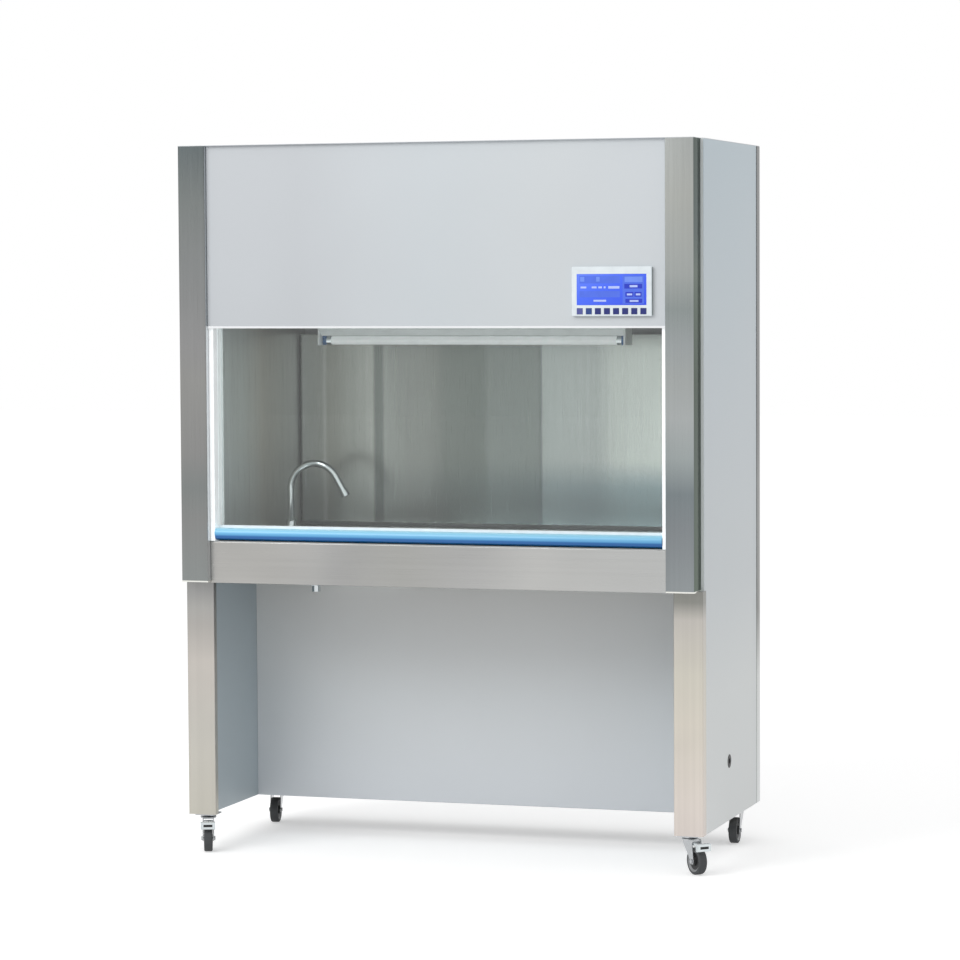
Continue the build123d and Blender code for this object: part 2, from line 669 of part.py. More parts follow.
# Rear baffle: plate in front of the exhaust plenum, open above and below it, on tube spacers
with BuildPart() as rear_baffle:
    baffle_half = CHAMBER_HALF - FIT
    baffle_bottom = WORKTOP_Z + BAFFLE_BOTTOM_GAP
    baffle_top = CEILING_Z - BAFFLE_TOP_GAP
    baffle_plane = Plane(origin=(0, front(BAFFLE_DEPTH), 0), x_dir=(1, 0, 0), z_dir=(0, -1, 0))
    with BuildSketch(baffle_plane):
        with Locations((0, (baffle_bottom + baffle_top) / 2)):
            Rectangle(2 * baffle_half, baffle_top - baffle_bottom)
    extrude(amount=-THIN)
    with BuildSketch(Plane(origin=(0, front(BAFFLE_DEPTH + THIN), 0), x_dir=(-1, 0, 0), z_dir=(0, 1, 0))):
        spacer_x = CHAMBER_HALF - SPACER_INSET
        for spacer_z in (baffle_bottom + SPACER_INSET, baffle_top - SPACER_INSET):
            with Locations((-spacer_x, spacer_z), (0, spacer_z), (spacer_x, spacer_z)):
                Circle(SPACER_RADIUS)
                Circle(SPACER_RADIUS - THIN, mode=Mode.SUBTRACT)
    extrude(amount=REAR_PANEL_IN - BAFFLE_DEPTH - THIN)
save(rear_baffle, "rear_baffle")

# Chamber ceiling, a tray with its flanges up
with BuildPart() as chamber_ceiling:
    ceiling_half = CHAMBER_HALF - FIT
    ceiling_outline = [
        (-ceiling_half, CEILING_TOP + CEILING_FLANGE),
        (-ceiling_half, CEILING_Z),
        (ceiling_half, CEILING_Z),
        (ceiling_half, CEILING_TOP + CEILING_FLANGE),
    ]
    with BuildSketch(Plane(origin=(0, front(CEILING_FRONT), 0), x_dir=(-1, 0, 0), z_dir=(0, 1, 0))):
        add(sheet_outline(ceiling_outline, THIN, Side.LEFT))
    extrude(amount=BAFFLE_DEPTH - CEILING_FRONT)
    with BuildSketch(Plane.XY.offset(CEILING_Z)):
        for flange_depth in (CEILING_FRONT + THIN / 2, BAFFLE_DEPTH - THIN / 2):
            with Locations((0, front(flange_depth))):
                Rectangle(2 * ceiling_half, THIN)
    extrude(amount=THIN + CEILING_FLANGE)
save(chamber_ceiling, "chamber_ceiling")

# Faucet base: escutcheon, column with the spout's socket, threaded shank and nut
with BuildPart() as faucet_base:
    with BuildSketch(Plane(origin=(FAUCET_X, front(FAUCET_DEPTH_AT), 0), x_dir=(1, 0, 0), z_dir=(0, -1, 0))):
        with BuildLine():
            Polyline(
                (0, WORKTOP_Z - SHANK_LENGTH),
                (FAUCET_SHANK, WORKTOP_Z - SHANK_LENGTH),
                (FAUCET_SHANK, WORKTOP_Z),
                (FAUCET_BASE_RADIUS, WORKTOP_Z),
                (FAUCET_BASE_RADIUS, WORKTOP_Z + ESCUTCHEON_EDGE),
                (FAUCET_COLUMN_RADIUS + ESCUTCHEON_EDGE, WORKTOP_Z + ESCUTCHEON_SHOULDER),
                (FAUCET_COLUMN_RADIUS, WORKTOP_Z + ESCUTCHEON_TOP),
                (FAUCET_COLUMN_RADIUS, FAUCET_COLUMN_TOP),
                (0, FAUCET_COLUMN_TOP),
                close=True,
            )
        make_face()
    revolve(axis=Axis((FAUCET_X, front(FAUCET_DEPTH_AT), 0), (0, 0, 1)))
    with BuildSketch(Plane.XY.offset(FAUCET_COLUMN_TOP)):
        with Locations((FAUCET_X, front(FAUCET_DEPTH_AT))):
            Circle(FAUCET_TUBE + RUNNING)
    extrude(amount=-SPOUT_SOCKET, mode=Mode.SUBTRACT)
    with BuildSketch(Plane.XY.offset(WORKTOP_Z - WORKTOP_SHEET)):
        with Locations((FAUCET_X, front(FAUCET_DEPTH_AT))):
            RegularPolygon(SHANK_NUT, 6)
    extrude(amount=-SHANK_NUT_HEIGHT)
save(faucet_base, "faucet_base")

# Gooseneck spout: a tube swept along riser, arch and straight end, with a nozzle sleeve
spout_plane = Plane(origin=(FAUCET_X, front(FAUCET_DEPTH_AT), 0), x_dir=(1, 0, 0), z_dir=(0, -1, 0))
spout_start = FAUCET_COLUMN_TOP - SPOUT_SOCKET + FIT
with BuildPart() as faucet_spout:
    with BuildLine(spout_plane) as spout_path:
        riser = Line((0, spout_start), (0, WORKTOP_Z + SPOUT_HEIGHT))
        arch = JernArc(start=riser @ 1, tangent=riser % 1, radius=SPOUT_ARCH, arc_size=-SPOUT_TURN)
        tail = Line(arch @ 1, arch @ 1 + SPOUT_TAIL * (arch % 1))
        nozzle_end = Line(tail @ 1, tail @ 1 + NOZZLE_LENGTH * (tail % 1))
    with BuildSketch(Plane.XY.offset(spout_start)):
        with Locations((FAUCET_X, front(FAUCET_DEPTH_AT))):
            Circle(FAUCET_TUBE)
    sweep(path=spout_path.wires()[0])
    with BuildSketch(Plane(origin=nozzle_end @ 0, z_dir=nozzle_end % 0)):
        Circle(NOZZLE_RADIUS)
    extrude(amount=NOZZLE_LENGTH)
    with BuildSketch(Plane(origin=nozzle_end @ 1, z_dir=nozzle_end % 1)):
        Circle(FAUCET_TUBE - THIN)
    extrude(amount=-NOZZLE_LENGTH / 2, mode=Mode.SUBTRACT)
save(faucet_spout, "faucet_spout")

# Lamp: batten housing with two end caps, the tube, and its two holders
with BuildPart() as lamp_housing:
    housing_bottom = CEILING_Z - LAMP_HEIGHT
    with BuildSketch(ACROSS):
        with BuildLine():
            Polyline(
                (front(LAMP_DEPTH_AT) - LAMP_WIDTH / 2, CEILING_Z),
                (front(LAMP_DEPTH_AT) - LAMP_WIDTH / 2, CEILING_Z - LAMP_HEIGHT / 2),
                (front(LAMP_DEPTH_AT) - LAMP_FOOT / 2, housing_bottom),
                (front(LAMP_DEPTH_AT) + LAMP_FOOT / 2, housing_bottom),
                (front(LAMP_DEPTH_AT) + LAMP_WIDTH / 2, CEILING_Z - LAMP_HEIGHT / 2),
                (front(LAMP_DEPTH_AT) + LAMP_WIDTH / 2, CEILING_Z),
                close=True,
            )
        make_face()
    extrude(amount=LAMP_HALF - LAMP_CAP, both=True)
    for hand in (LEFT, RIGHT):
        cap_plane = Plane(origin=(hand * (LAMP_HALF - LAMP_CAP), 0, 0), x_dir=(0, 1, 0), z_dir=(1, 0, 0))
        with BuildSketch(cap_plane):
            cap_height = CEILING_Z - TUBE_Z + TUBE_RADIUS
            with Locations((front(LAMP_DEPTH_AT), CEILING_Z - cap_height / 2)):
                Rectangle(LAMP_WIDTH, cap_height)
        extrude(amount=hand * LAMP_CAP)
save(lamp_housing, "lamp_housing")

holder_inner = LAMP_HALF - LAMP_CAP - FIT - HOLDER_WIDTH
with BuildPart() as lamp_holders:
    for hand in (LEFT, RIGHT):
        holder_plane = Plane(origin=(hand * holder_inner, 0, 0), x_dir=(0, 1, 0), z_dir=(1, 0, 0))
        holder_height = housing_bottom - TUBE_Z + TUBE_RADIUS - FIT
        with BuildSketch(holder_plane):
            with Locations((front(LAMP_DEPTH_AT), housing_bottom - FIT - holder_height / 2)):
                RectangleRounded(HOLDER_SIZE, holder_height, HOLDER_WIDTH / 2)
        extrude(amount=hand * HOLDER_WIDTH)
save(lamp_holders, "lamp_holders")

with BuildPart() as lamp_tube:
    tube_half = holder_inner - FIT
    tube_radius = TUBE_RADIUS - FIT
    with BuildSketch(ACROSS):
        with Locations((front(LAMP_DEPTH_AT), TUBE_Z)):
            Circle(tube_radius)
    extrude(amount=tube_half, both=True)
    chamfer(lamp_tube.edges().filter_by(GeomType.CIRCLE), TUBE_CHAMFER)
save(lamp_tube, "lamp_tube")

# Sash guides: slotted uprights between the worktop and the pulleys
with BuildPart() as sash_guides:
    with BuildSketch(Plane.XY.offset(WORKTOP_Z)):
        for hand in (LEFT, RIGHT):
            with Locations((hand * (COLUMN_INNER - GUIDE_WIDTH / 2), front(GUIDE_FRONT + GUIDE_DEPTH / 2))):
                Rectangle(GUIDE_WIDTH, GUIDE_DEPTH)
            slot_centre = front(GLASS_FRONT + GLASS_THICKNESS / 2)
            with Locations((hand * (GUIDE_INNER + SLOT_DEPTH / 2), slot_centre)):
                Rectangle(SLOT_DEPTH, GLASS_THICKNESS + 2 * SASH_PLAY, mode=Mode.SUBTRACT)
    extrude(amount=GUIDE_TOP - WORKTOP_Z)
save(sash_guides, "sash_guides")

# Sash: toughened pane, a rail along each edge, and the handle bar
with BuildPart() as sash_glass:
    with BuildSketch(Plane.XY.offset(SASH_BOTTOM + BOTTOM_RAIL_HEIGHT - RAIL_GRIP)):
        with Locations((0, front(GLASS_FRONT + GLASS_THICKNESS / 2))):
            Rectangle(2 * (GUIDE_INNER + SLOT_DEPTH - SASH_PLAY), GLASS_THICKNESS)
    extrude(amount=SASH_TOP - TOP_RAIL_HEIGHT - SASH_BOTTOM - BOTTOM_RAIL_HEIGHT + 2 * RAIL_GRIP)
save(sash_glass, "sash_glass")

with BuildPart() as sash_rails:
    rail_centre = front(RAIL_FRONT + RAIL_DEPTH / 2)
    for rail_bottom, rail_height in (
        (SASH_BOTTOM, BOTTOM_RAIL_HEIGHT),
        (SASH_TOP - TOP_RAIL_HEIGHT, TOP_RAIL_HEIGHT),
    ):
        hollow_height = rail_height - RAIL_GRIP - 2 * RAIL_WALL
        hollow_shift = (RAIL_GRIP / 2) if rail_bottom > SASH_BOTTOM else (-RAIL_GRIP / 2)
        with BuildSketch(ACROSS):
            with Locations((rail_centre, rail_bottom + rail_height / 2)):
                Rectangle(RAIL_DEPTH, rail_height)
                with Locations((0, hollow_shift)):
                    Rectangle(RAIL_DEPTH - 2 * RAIL_WALL, hollow_height, mode=Mode.SUBTRACT)
        extrude(amount=RAIL_HALF, both=True)
    with BuildSketch(ACROSS):
        groove_bottom = SASH_BOTTOM + BOTTOM_RAIL_HEIGHT - RAIL_GRIP
        groove_top = SASH_TOP - TOP_RAIL_HEIGHT + RAIL_GRIP
        with Locations((rail_centre, (groove_bottom + groove_top) / 2)):
            Rectangle(GLASS_THICKNESS, groove_top - groove_bottom)
    extrude(amount=RAIL_HALF, both=True, mode=Mode.SUBTRACT)
    with BuildSketch(Plane.XY.offset(SASH_TOP)):
        with Locations((-ROPE_SASH_X, rail_centre), (ROPE_SASH_X, rail_centre)):
            Circle(CLAMP_RADIUS)
            Circle(ROPE_HOLE, mode=Mode.SUBTRACT)
    extrude(amount=CLAMP_HEIGHT)
save(sash_rails, "sash_rails")

with BuildPart() as sash_handle:
    bar_bottom = SASH_BOTTOM + BAR_LIFT
    bar_top = bar_bottom + BAR_HEIGHT
    bar_back = front(RAIL_FRONT)
    bar_front = front(BAR_FRONT)
    bar_round = (BAR_HEIGHT - BAR_LIP) / 2
    with BuildSketch(ACROSS):
        with BuildLine():
            Line((bar_back, bar_bottom), (bar_front + bar_round, bar_bottom))
            Line((bar_front + bar_round, bar_bottom), (bar_front + BAR_LIP, bar_bottom + BAR_LIP))
            Line((bar_front + BAR_LIP, bar_bottom + BAR_LIP), (bar_front, bar_top - bar_round))
            RadiusArc((bar_front, bar_top - bar_round), (bar_front + bar_round, bar_top), bar_round)
            Line((bar_front + bar_round, bar_top), (bar_back, bar_top))
            Line((bar_back, bar_top), (bar_back, bar_bottom))
        make_face()
        offset(amount=-BAR_WALL, mode=Mode.SUBTRACT)
    extrude(amount=RAIL_HALF, both=True)
save(sash_handle, "sash_handle")

# Counterweights in the two columns
with BuildPart() as counterweights:
    weight_top = BODY_TOP - WEIGHT_DROP
    weight_places = [(hand * WEIGHT_X, front(ROPE_DEPTH)) for hand in (LEFT, RIGHT)]
    with BuildSketch(Plane.XY.offset(weight_top)):
        with Locations(*weight_places):
            Rectangle(WEIGHT_WIDTH, WEIGHT_DEPTH)
    extrude(amount=-WEIGHT_LENGTH)
    with BuildSketch(Plane.XY.offset(weight_top)):
        with Locations(*weight_places):
            Circle(CLAMP_RADIUS)
            Circle(ROPE_HOLE, mode=Mode.SUBTRACT)
    extrude(amount=CLAMP_HEIGHT)
save(counterweights, "counterweights")

# Pulley brackets: plates screwed under the roof, each with its axle
bracket_front = ROPE_DEPTH + PULLEY_WIDTH / 2 + FIT
with BuildPart() as pulley_brackets:
    for hand in (LEFT, RIGHT):
        with BuildSketch(Plane(origin=(0, front(bracket_front), 0), x_dir=(-1, 0, 0), z_dir=(0, 1, 0))):
            plate_bottom = PULLEY_Z - BRACKET_WIDTH / 2
            with Locations((-hand * PULLEY_X, (plate_bottom + ROOF_UNDERSIDE) / 2)):
                Rectangle(BRACKET_WIDTH, ROOF_UNDERSIDE - plate_bottom)
        extrude(amount=BRACKET_SHEET)
        with BuildSketch(Plane.XY.offset(ROOF_UNDERSIDE - BRACKET_SHEET)):
            with Locations((hand * PULLEY_X, front(bracket_front + BRACKET_FLANGE / 2))):
                Rectangle(BRACKET_WIDTH, BRACKET_FLANGE)
        extrude(amount=BRACKET_SHEET)
        with BuildSketch(Plane(origin=(0, front(bracket_front), 0), x_dir=(1, 0, 0), z_dir=(0, -1, 0))):
            with Locations((hand * PULLEY_X, PULLEY_Z)):
                Circle(AXLE_RADIUS)
        extrude(amount=PULLEY_WIDTH + 2 * FIT)
        head_depth = bracket_front - PULLEY_WIDTH - 2 * FIT
        with BuildSketch(Plane(origin=(0, front(head_depth), 0), x_dir=(1, 0, 0), z_dir=(0, -1, 0))):
            with Locations((hand * PULLEY_X, PULLEY_Z)):
                Circle(AXLE_HEAD_RADIUS)
        extrude(amount=AXLE_HEAD_THICKNESS)
save(pulley_brackets, "pulley_brackets")


# Pulleys: grooved for the lifting rope
def pulley(sign):
    half = PULLEY_WIDTH / 2
    centre = (sign * PULLEY_X, front(ROPE_DEPTH), PULLEY_Z)
    with BuildPart() as wheel:
        with BuildSketch(Plane(origin=centre, x_dir=(0, 1, 0), z_dir=(-1, 0, 0))):
            with BuildLine():
                Polyline(
                    (-half, AXLE_RADIUS + RUNNING),
                    (-half, PULLEY_RADIUS),
                    (-half + PULLEY_RIM, PULLEY_RADIUS),
                    (-PULLEY_GROOVE / 2, PULLEY_RADIUS - PULLEY_GROOVE),
                    (PULLEY_GROOVE / 2, PULLEY_RADIUS - PULLEY_GROOVE),
                    (half - PULLEY_RIM, PULLEY_RADIUS),
                    (half, PULLEY_RADIUS),
                    (half, AXLE_RADIUS + RUNNING),
                    close=True,
                )
            make_face()
        revolve(axis=Axis(centre, (0, 1, 0)))
    save(wheel, f"{side_name(sign)}_pulley")


for hand in (LEFT, RIGHT):
    pulley(hand)


# Control panel: a moulded bezel, open at the back, on the fascia
def key_x(index):
    """X of a key's centre, counted from the left."""
    return WINDOW_X + (index - (KEY_COUNT - 1) / 2) * KEY_PITCH


with BuildPart() as panel_bezel:
    bezel_plane = Plane(origin=(0, front(FASCIA_SETBACK), 0), x_dir=(1, 0, 0), z_dir=(0, -1, 0))
    bezel_thickness = FASCIA_SETBACK - BEZEL_FRONT
    with BuildSketch(bezel_plane):
        with Locations((BEZEL_X, BEZEL_Z)):
            RectangleRounded(BEZEL_WIDTH, BEZEL_HEIGHT, BEZEL_WALL)
    extrude(amount=bezel_thickness)
    rim = panel_bezel.faces().sort_by(Axis.Y)[0].edges()
    chamfer(rim, BEZEL_WALL / 2)
    with BuildSketch(bezel_plane):
        with Locations((BEZEL_X, BEZEL_Z)):
            Rectangle(BEZEL_WIDTH - 2 * BEZEL_WALL, BEZEL_HEIGHT - 2 * BEZEL_WALL)
    extrude(amount=bezel_thickness - BEZEL_SKIN, mode=Mode.SUBTRACT)
    with BuildSketch(bezel_plane):
        with Locations((WINDOW_X, WINDOW_Z)):
            Rectangle(WINDOW_WIDTH, WINDOW_HEIGHT)
        for index in range(KEY_COUNT):
            with Locations((key_x(index), KEY_Z)):
                Rectangle(KEY_SIZE + 2 * KEY_GAP, KEY_SIZE + 2 * KEY_GAP)
    extrude(amount=bezel_thickness, mode=Mode.SUBTRACT)
save(panel_bezel, "panel_bezel")

# Display module: the window in the bezel and the circuit board behind it
with BuildPart() as display_module:
    window_front = BEZEL_FRONT + FIT
    with BuildSketch(Plane(origin=(0, front(window_front), 0), x_dir=(1, 0, 0), z_dir=(0, -1, 0))):
        with Locations((WINDOW_X, WINDOW_Z)):
            Rectangle(WINDOW_WIDTH - 2 * FIT, WINDOW_HEIGHT - 2 * FIT)
    extrude(amount=window_front - BOARD_FRONT)
    with BuildSketch(Plane(origin=(0, front(BOARD_FRONT), 0), x_dir=(1, 0, 0), z_dir=(0, -1, 0))):
        with Locations((BEZEL_X, BEZEL_Z)):
            Rectangle(BEZEL_WIDTH - 2 * BEZEL_WALL - 2 * FIT, BEZEL_HEIGHT - 2 * BEZEL_WALL - 2 * FIT)
    extrude(amount=-BOARD_THICKNESS)
save(display_module, "display_module")


# Keys: square caps, each held behind the bezel's skin by a flange
def key(index):
    flange_front = BEZEL_FRONT + BEZEL_SKIN + FIT
    cap_plane = Plane(origin=(0, front(BEZEL_FRONT - KEY_PROUD), 0), x_dir=(1, 0, 0), z_dir=(0, -1, 0))
    flange_plane = Plane(origin=(0, front(flange_front), 0), x_dir=(1, 0, 0), z_dir=(0, -1, 0))
    with BuildPart() as cap:
        with BuildSketch(cap_plane):
            with Locations((key_x(index), KEY_Z)):
                RectangleRounded(KEY_SIZE, KEY_SIZE, KEY_CORNER)
        extrude(amount=BEZEL_FRONT - KEY_PROUD - flange_front)
        chamfer(cap.faces().sort_by(Axis.Y)[0].edges(), KEY_EDGE)
        with BuildSketch(flange_plane):
            with Locations((key_x(index), KEY_Z)):
                Rectangle(KEY_SIZE + 2 * KEY_FLANGE, KEY_SIZE + 2 * KEY_FLANGE)
        extrude(amount=-KEY_FLANGE)
    save(cap, f"key_{index + 1}")


for index in range(KEY_COUNT):
    key(index)

# Blower scroll: four quarter arcs of growing radius, open to the roof collar
scroll_top = ROOF_UNDERSIDE - BLOWER_Z - COLLAR_DROP - FIT


def scroll_profile(inset, top):
    """Scroll outline seen from the right; inset moves it inwards all round."""
    r1 = SCROLL_RADIUS - inset
    r2 = r1 + SCROLL_GROWTH
    r3 = r2 + SCROLL_GROWTH
    with BuildSketch() as profile:
        with BuildLine():
            RadiusArc((inset, r1), (-r1, 0), -r1)
            RadiusArc((-r1, 0), (SCROLL_GROWTH, -r2), -r2)
            RadiusArc((SCROLL_GROWTH, -r2), (SCROLL_GROWTH + r3, SCROLL_GROWTH), -r3)
            Line((SCROLL_GROWTH + r3, SCROLL_GROWTH), (SCROLL_GROWTH + r3, top))
            Line((SCROLL_GROWTH + r3, top), (inset, top))
            Line((inset, top), (inset, r1))
        make_face()
    return profile.sketch


scroll_plane = Plane(
    origin=(-SCROLL_WIDTH / 2, front(BLOWER_DEPTH_AT), BLOWER_Z), x_dir=(0, 1, 0), z_dir=(1, 0, 0)
)
with BuildPart() as blower_housing:
    with BuildSketch(scroll_plane):
        add(scroll_profile(0, scroll_top))
    extrude(amount=SCROLL_WIDTH)
    with BuildSketch(scroll_plane.offset(SCROLL_SHEET)):
        add(scroll_profile(SCROLL_SHEET, scroll_top))
    extrude(amount=SCROLL_WIDTH - 2 * SCROLL_SHEET, mode=Mode.SUBTRACT)
    with BuildSketch(scroll_plane):
        Circle(INLET_RADIUS)
    extrude(amount=SCROLL_SHEET, mode=Mode.SUBTRACT)
    with BuildSketch(scroll_plane.offset(SCROLL_WIDTH)):
        Circle(SHAFT_HOLE)
    extrude(amount=-SCROLL_SHEET, mode=Mode.SUBTRACT)
    for hand in (LEFT, RIGHT):
        foot_x_centre = hand * (SCROLL_WIDTH / 2 - SCROLL_SHEET / 2)
        with BuildSketch(Plane.XY.offset(CEILING_TOP)):
            with Locations((foot_x_centre, front(BLOWER_DEPTH_AT + SCROLL_GROWTH))):
                Rectangle(SCROLL_SHEET, FOOT_LENGTH)
        extrude(amount=BLOWER_Z - SCROLL_RADIUS - CEILING_TOP)
        with BuildSketch(Plane.XY.offset(CEILING_TOP)):
            with Locations((hand * (SCROLL_WIDTH + FOOT_WIDTH) / 2, front(BLOWER_DEPTH_AT + SCROLL_GROWTH))):
                Rectangle(FOOT_WIDTH, FOOT_LENGTH)
        extrude(amount=SCROLL_SHEET)
save(blower_housing, "blower_housing")

# Motor: flanged to the housing's right side, with a blind bore for the rotor shaft
motor_face = SCROLL_WIDTH / 2
with BuildPart() as blower_motor:
    motor_plane = Plane(
        origin=(motor_face, front(BLOWER_DEPTH_AT), BLOWER_Z), x_dir=(0, 1, 0), z_dir=(1, 0, 0)
    )
    with BuildSketch(motor_plane):
        Circle(MOTOR_FLANGE)
    extrude(amount=2 * SCROLL_SHEET)
    with BuildSketch(motor_plane.offset(2 * SCROLL_SHEET)):
        Circle(MOTOR_RADIUS)
    extrude(amount=MOTOR_LENGTH)
    chamfer(blower_motor.faces().sort_by(Axis.X)[-1].edges(), MOTOR_CHAMFER)
    with BuildSketch(motor_plane):
        Circle(SHAFT_RADIUS + RUNNING)
    extrude(amount=SHAFT_IN_MOTOR, mode=Mode.SUBTRACT)
save(blower_motor, "blower_motor")

# Impeller: forward-curved blades between a back plate and an inlet ring, on its shaft
impeller_back = IMPELLER_WIDTH / 2
with BuildPart() as blower_impeller:
    back_plane = Plane(
        origin=(impeller_back, front(BLOWER_DEPTH_AT), BLOWER_Z), x_dir=(0, 1, 0), z_dir=(1, 0, 0)
    )
    with BuildSketch(back_plane):
        Circle(IMPELLER_RADIUS)
    extrude(amount=SCROLL_SHEET)
    with BuildSketch(back_plane.offset(-IMPELLER_WIDTH)):
        Circle(IMPELLER_RADIUS)
        Circle(IMPELLER_RADIUS - BLADE_DEPTH, mode=Mode.SUBTRACT)
    extrude(amount=SCROLL_SHEET)
    with BuildSketch(back_plane.offset(-IMPELLER_WIDTH + SCROLL_SHEET)):
        with PolarLocations(IMPELLER_RADIUS - BLADE_DEPTH / 2, BLADE_COUNT):
            with Locations(Rotation(0, 0, BLADE_LEAN)):
                Rectangle(BLADE_DEPTH - SCROLL_SHEET, BLADE_SHEET)
    extrude(amount=IMPELLER_WIDTH - SCROLL_SHEET)
    with BuildSketch(back_plane):
        Circle(ROTOR_HUB_RADIUS)
    extrude(amount=-ROTOR_HUB_LENGTH)
    with BuildSketch(back_plane):
        Circle(SHAFT_RADIUS)
    extrude(amount=motor_face + SHAFT_IN_MOTOR - impeller_back - FIT)
save(blower_impeller, "blower_impeller")

# Gland: a grommet in the right side panel, its flange no prouder than the post
with BuildPart() as cable_gland:
    with BuildSketch(gland_plane()):
        Circle(GLAND_RADIUS)
        Circle(GLAND_BORE, mode=Mode.SUBTRACT)
    extrude(amount=THIN)
    with BuildSketch(gland_plane()):
        Circle(GLAND_NECK)
        Circle(GLAND_BORE, mode=Mode.SUBTRACT)
    extrude(amount=-GLAND_INSIDE)
save(cable_gland, "cable_gland")

# Castors. Each is set out on a plane at the floor under its swivel axis, turned so
# that the wheel trails the way it stands, with -Y of that plane as the trailing side.
CASTOR_SIDES = {"front_left": (-1, -1), "front_right": (1, -1), "rear_left": (-1, 1), "rear_right": (1, 1)}
crown_top = CASTOR_HEIGHT - PLATE_SHEET - RACE_HEIGHT - FIT
crown_bottom = crown_top - CROWN_SHEET
fork_inner = HUB_WIDTH / 2 + FORK_GAP
fork_outer = fork_inner + FORK_SHEET


def castor_plane(corner):
    """Floor plane under a castor's swivel axis."""
    side, end = CASTOR_SIDES[corner]
    turn = radians(TURNS[corner])
    return Plane(
        origin=(side * CASTOR_X, end * (DEPTH / 2 - CASTOR_INSET), 0),
        x_dir=(cos(turn), sin(turn), 0),
        z_dir=(0, 0, 1),
    )


def upright_plane_at(floor, x, y, z):
    """Plane square to the wheel's axle, with local Y across it and Z up."""
    return Plane(origin=floor.from_local_coords(Vector(x, y, z)), x_dir=floor.y_dir, z_dir=floor.x_dir)


# Top plates with the upper ball race, kingpin and its head
with BuildPart() as castor_plates:
    for corner in CASTOR_SIDES:
        side, end = CASTOR_SIDES[corner]
        centre = (side * CASTOR_X, end * (DEPTH / 2 - CASTOR_INSET))
        with BuildSketch(Plane.XY.offset(CASTOR_HEIGHT)):
            with Locations(centre):
                RectangleRounded(PLATE_WIDTH, PLATE_DEPTH, PLATE_CORNER)
        extrude(amount=-PLATE_SHEET)
        with BuildSketch(Plane.XY.offset(CASTOR_HEIGHT - PLATE_SHEET)):
            with Locations(centre):
                Circle(RACE_RADIUS)
        extrude(amount=-RACE_HEIGHT, taper=RACE_TAPER)
        with BuildSketch(Plane.XY.offset(CASTOR_HEIGHT - PLATE_SHEET)):
            with Locations(centre):
                Circle(KINGPIN_RADIUS)
        extrude(amount=crown_bottom - 2 * FIT - CASTOR_HEIGHT + PLATE_SHEET)
        with BuildSketch(Plane.XY.offset(crown_bottom - FIT)):
            with Locations(centre):
                Circle(KINGPIN_HEAD)
        extrude(amount=-PLATE_SHEET)
save(castor_plates, "castor_plates")


def castor_fork(corner):
    floor = castor_plane(corner)
    axle_z = WHEEL_RADIUS
    with BuildPart() as fork:
        with BuildSketch(floor.offset(crown_bottom)):
            Circle(CROWN_RADIUS)
            with Locations((0, -CASTOR_TRAIL / 3)):
                Rectangle(2 * fork_outer, CROWN_RADIUS + CASTOR_TRAIL / 3)
            Circle(KINGPIN_RADIUS + RUNNING, mode=Mode.SUBTRACT)
        extrude(amount=CROWN_SHEET)
        for leg_x in (fork_inner, -fork_outer):
            with BuildSketch(upright_plane_at(floor, leg_x, 0, 0)):
                with BuildLine():
                    Polyline(
                        (CROWN_RADIUS / 2, crown_top),
                        (-CROWN_RADIUS - CASTOR_TRAIL / 3, crown_top),
                        (-CASTOR_TRAIL - 2 * AXLE_BOLT, axle_z),
                        (-CASTOR_TRAIL, axle_z - 2 * AXLE_BOLT),
                        (-CASTOR_TRAIL + 2 * AXLE_BOLT, axle_z),
                        (CROWN_RADIUS / 2, crown_bottom - 2 * CROWN_SHEET),
                        close=True,
                    )
                make_face()
                with Locations((-CASTOR_TRAIL, axle_z)):
                    Circle(AXLE_BOSS)
            extrude(amount=FORK_SHEET)
        with BuildSketch(upright_plane_at(floor, -fork_outer, -CASTOR_TRAIL, axle_z)):
            Circle(AXLE_BOLT)
        extrude(amount=2 * fork_outer)
        for head_x, head_length in ((fork_outer, AXLE_BOLT), (-fork_outer, -AXLE_BOLT)):
            with BuildSketch(upright_plane_at(floor, head_x, -CASTOR_TRAIL, axle_z)):
                RegularPolygon(AXLE_NUT, 6)
            extrude(amount=head_length)
        if corner.startswith("front"):
            with BuildSketch(upright_plane_at(floor, -fork_inner, PEDAL_PIVOT[0], PEDAL_PIVOT[1])):
                Circle(PEDAL_PIN)
            extrude(amount=2 * fork_inner)
    save(fork, f"{corner}_fork")


def castor_wheel(corner):
    floor = castor_plane(corner)
    axle_centre = floor.from_local_coords(Vector(0, -CASTOR_TRAIL, WHEEL_RADIUS))
    rolling_plane = Plane(origin=axle_centre, x_dir=floor.x_dir, z_dir=-floor.y_dir)
    half = WHEEL_WIDTH / 2
    web = half / 2
    rim_radius = WHEEL_RADIUS - TYRE_DEPTH
    with BuildPart() as wheel:
        with BuildSketch(rolling_plane):
            with BuildLine():
                Polyline(
                    (half - TREAD_EDGE, WHEEL_RADIUS),
                    (half, WHEEL_RADIUS - TREAD_EDGE),
                    (half, rim_radius),
                    (web, rim_radius - WEB_RECESS),
                    (web, HUB_RADIUS),
                    (HUB_WIDTH / 2, HUB_RADIUS),
                    (HUB_WIDTH / 2, AXLE_BOLT + RUNNING),
                    (-HUB_WIDTH / 2, AXLE_BOLT + RUNNING),
                    (-HUB_WIDTH / 2, HUB_RADIUS),
                    (-web, HUB_RADIUS),
                    (-web, rim_radius - WEB_RECESS),
                    (-half, rim_radius),
                    (-half, WHEEL_RADIUS - TREAD_EDGE),
                    (-half + TREAD_EDGE, WHEEL_RADIUS),
                    close=True,
                )
            make_face()
        revolve(axis=Axis(axle_centre, floor.x_dir))
    save(wheel, f"{corner}_wheel")


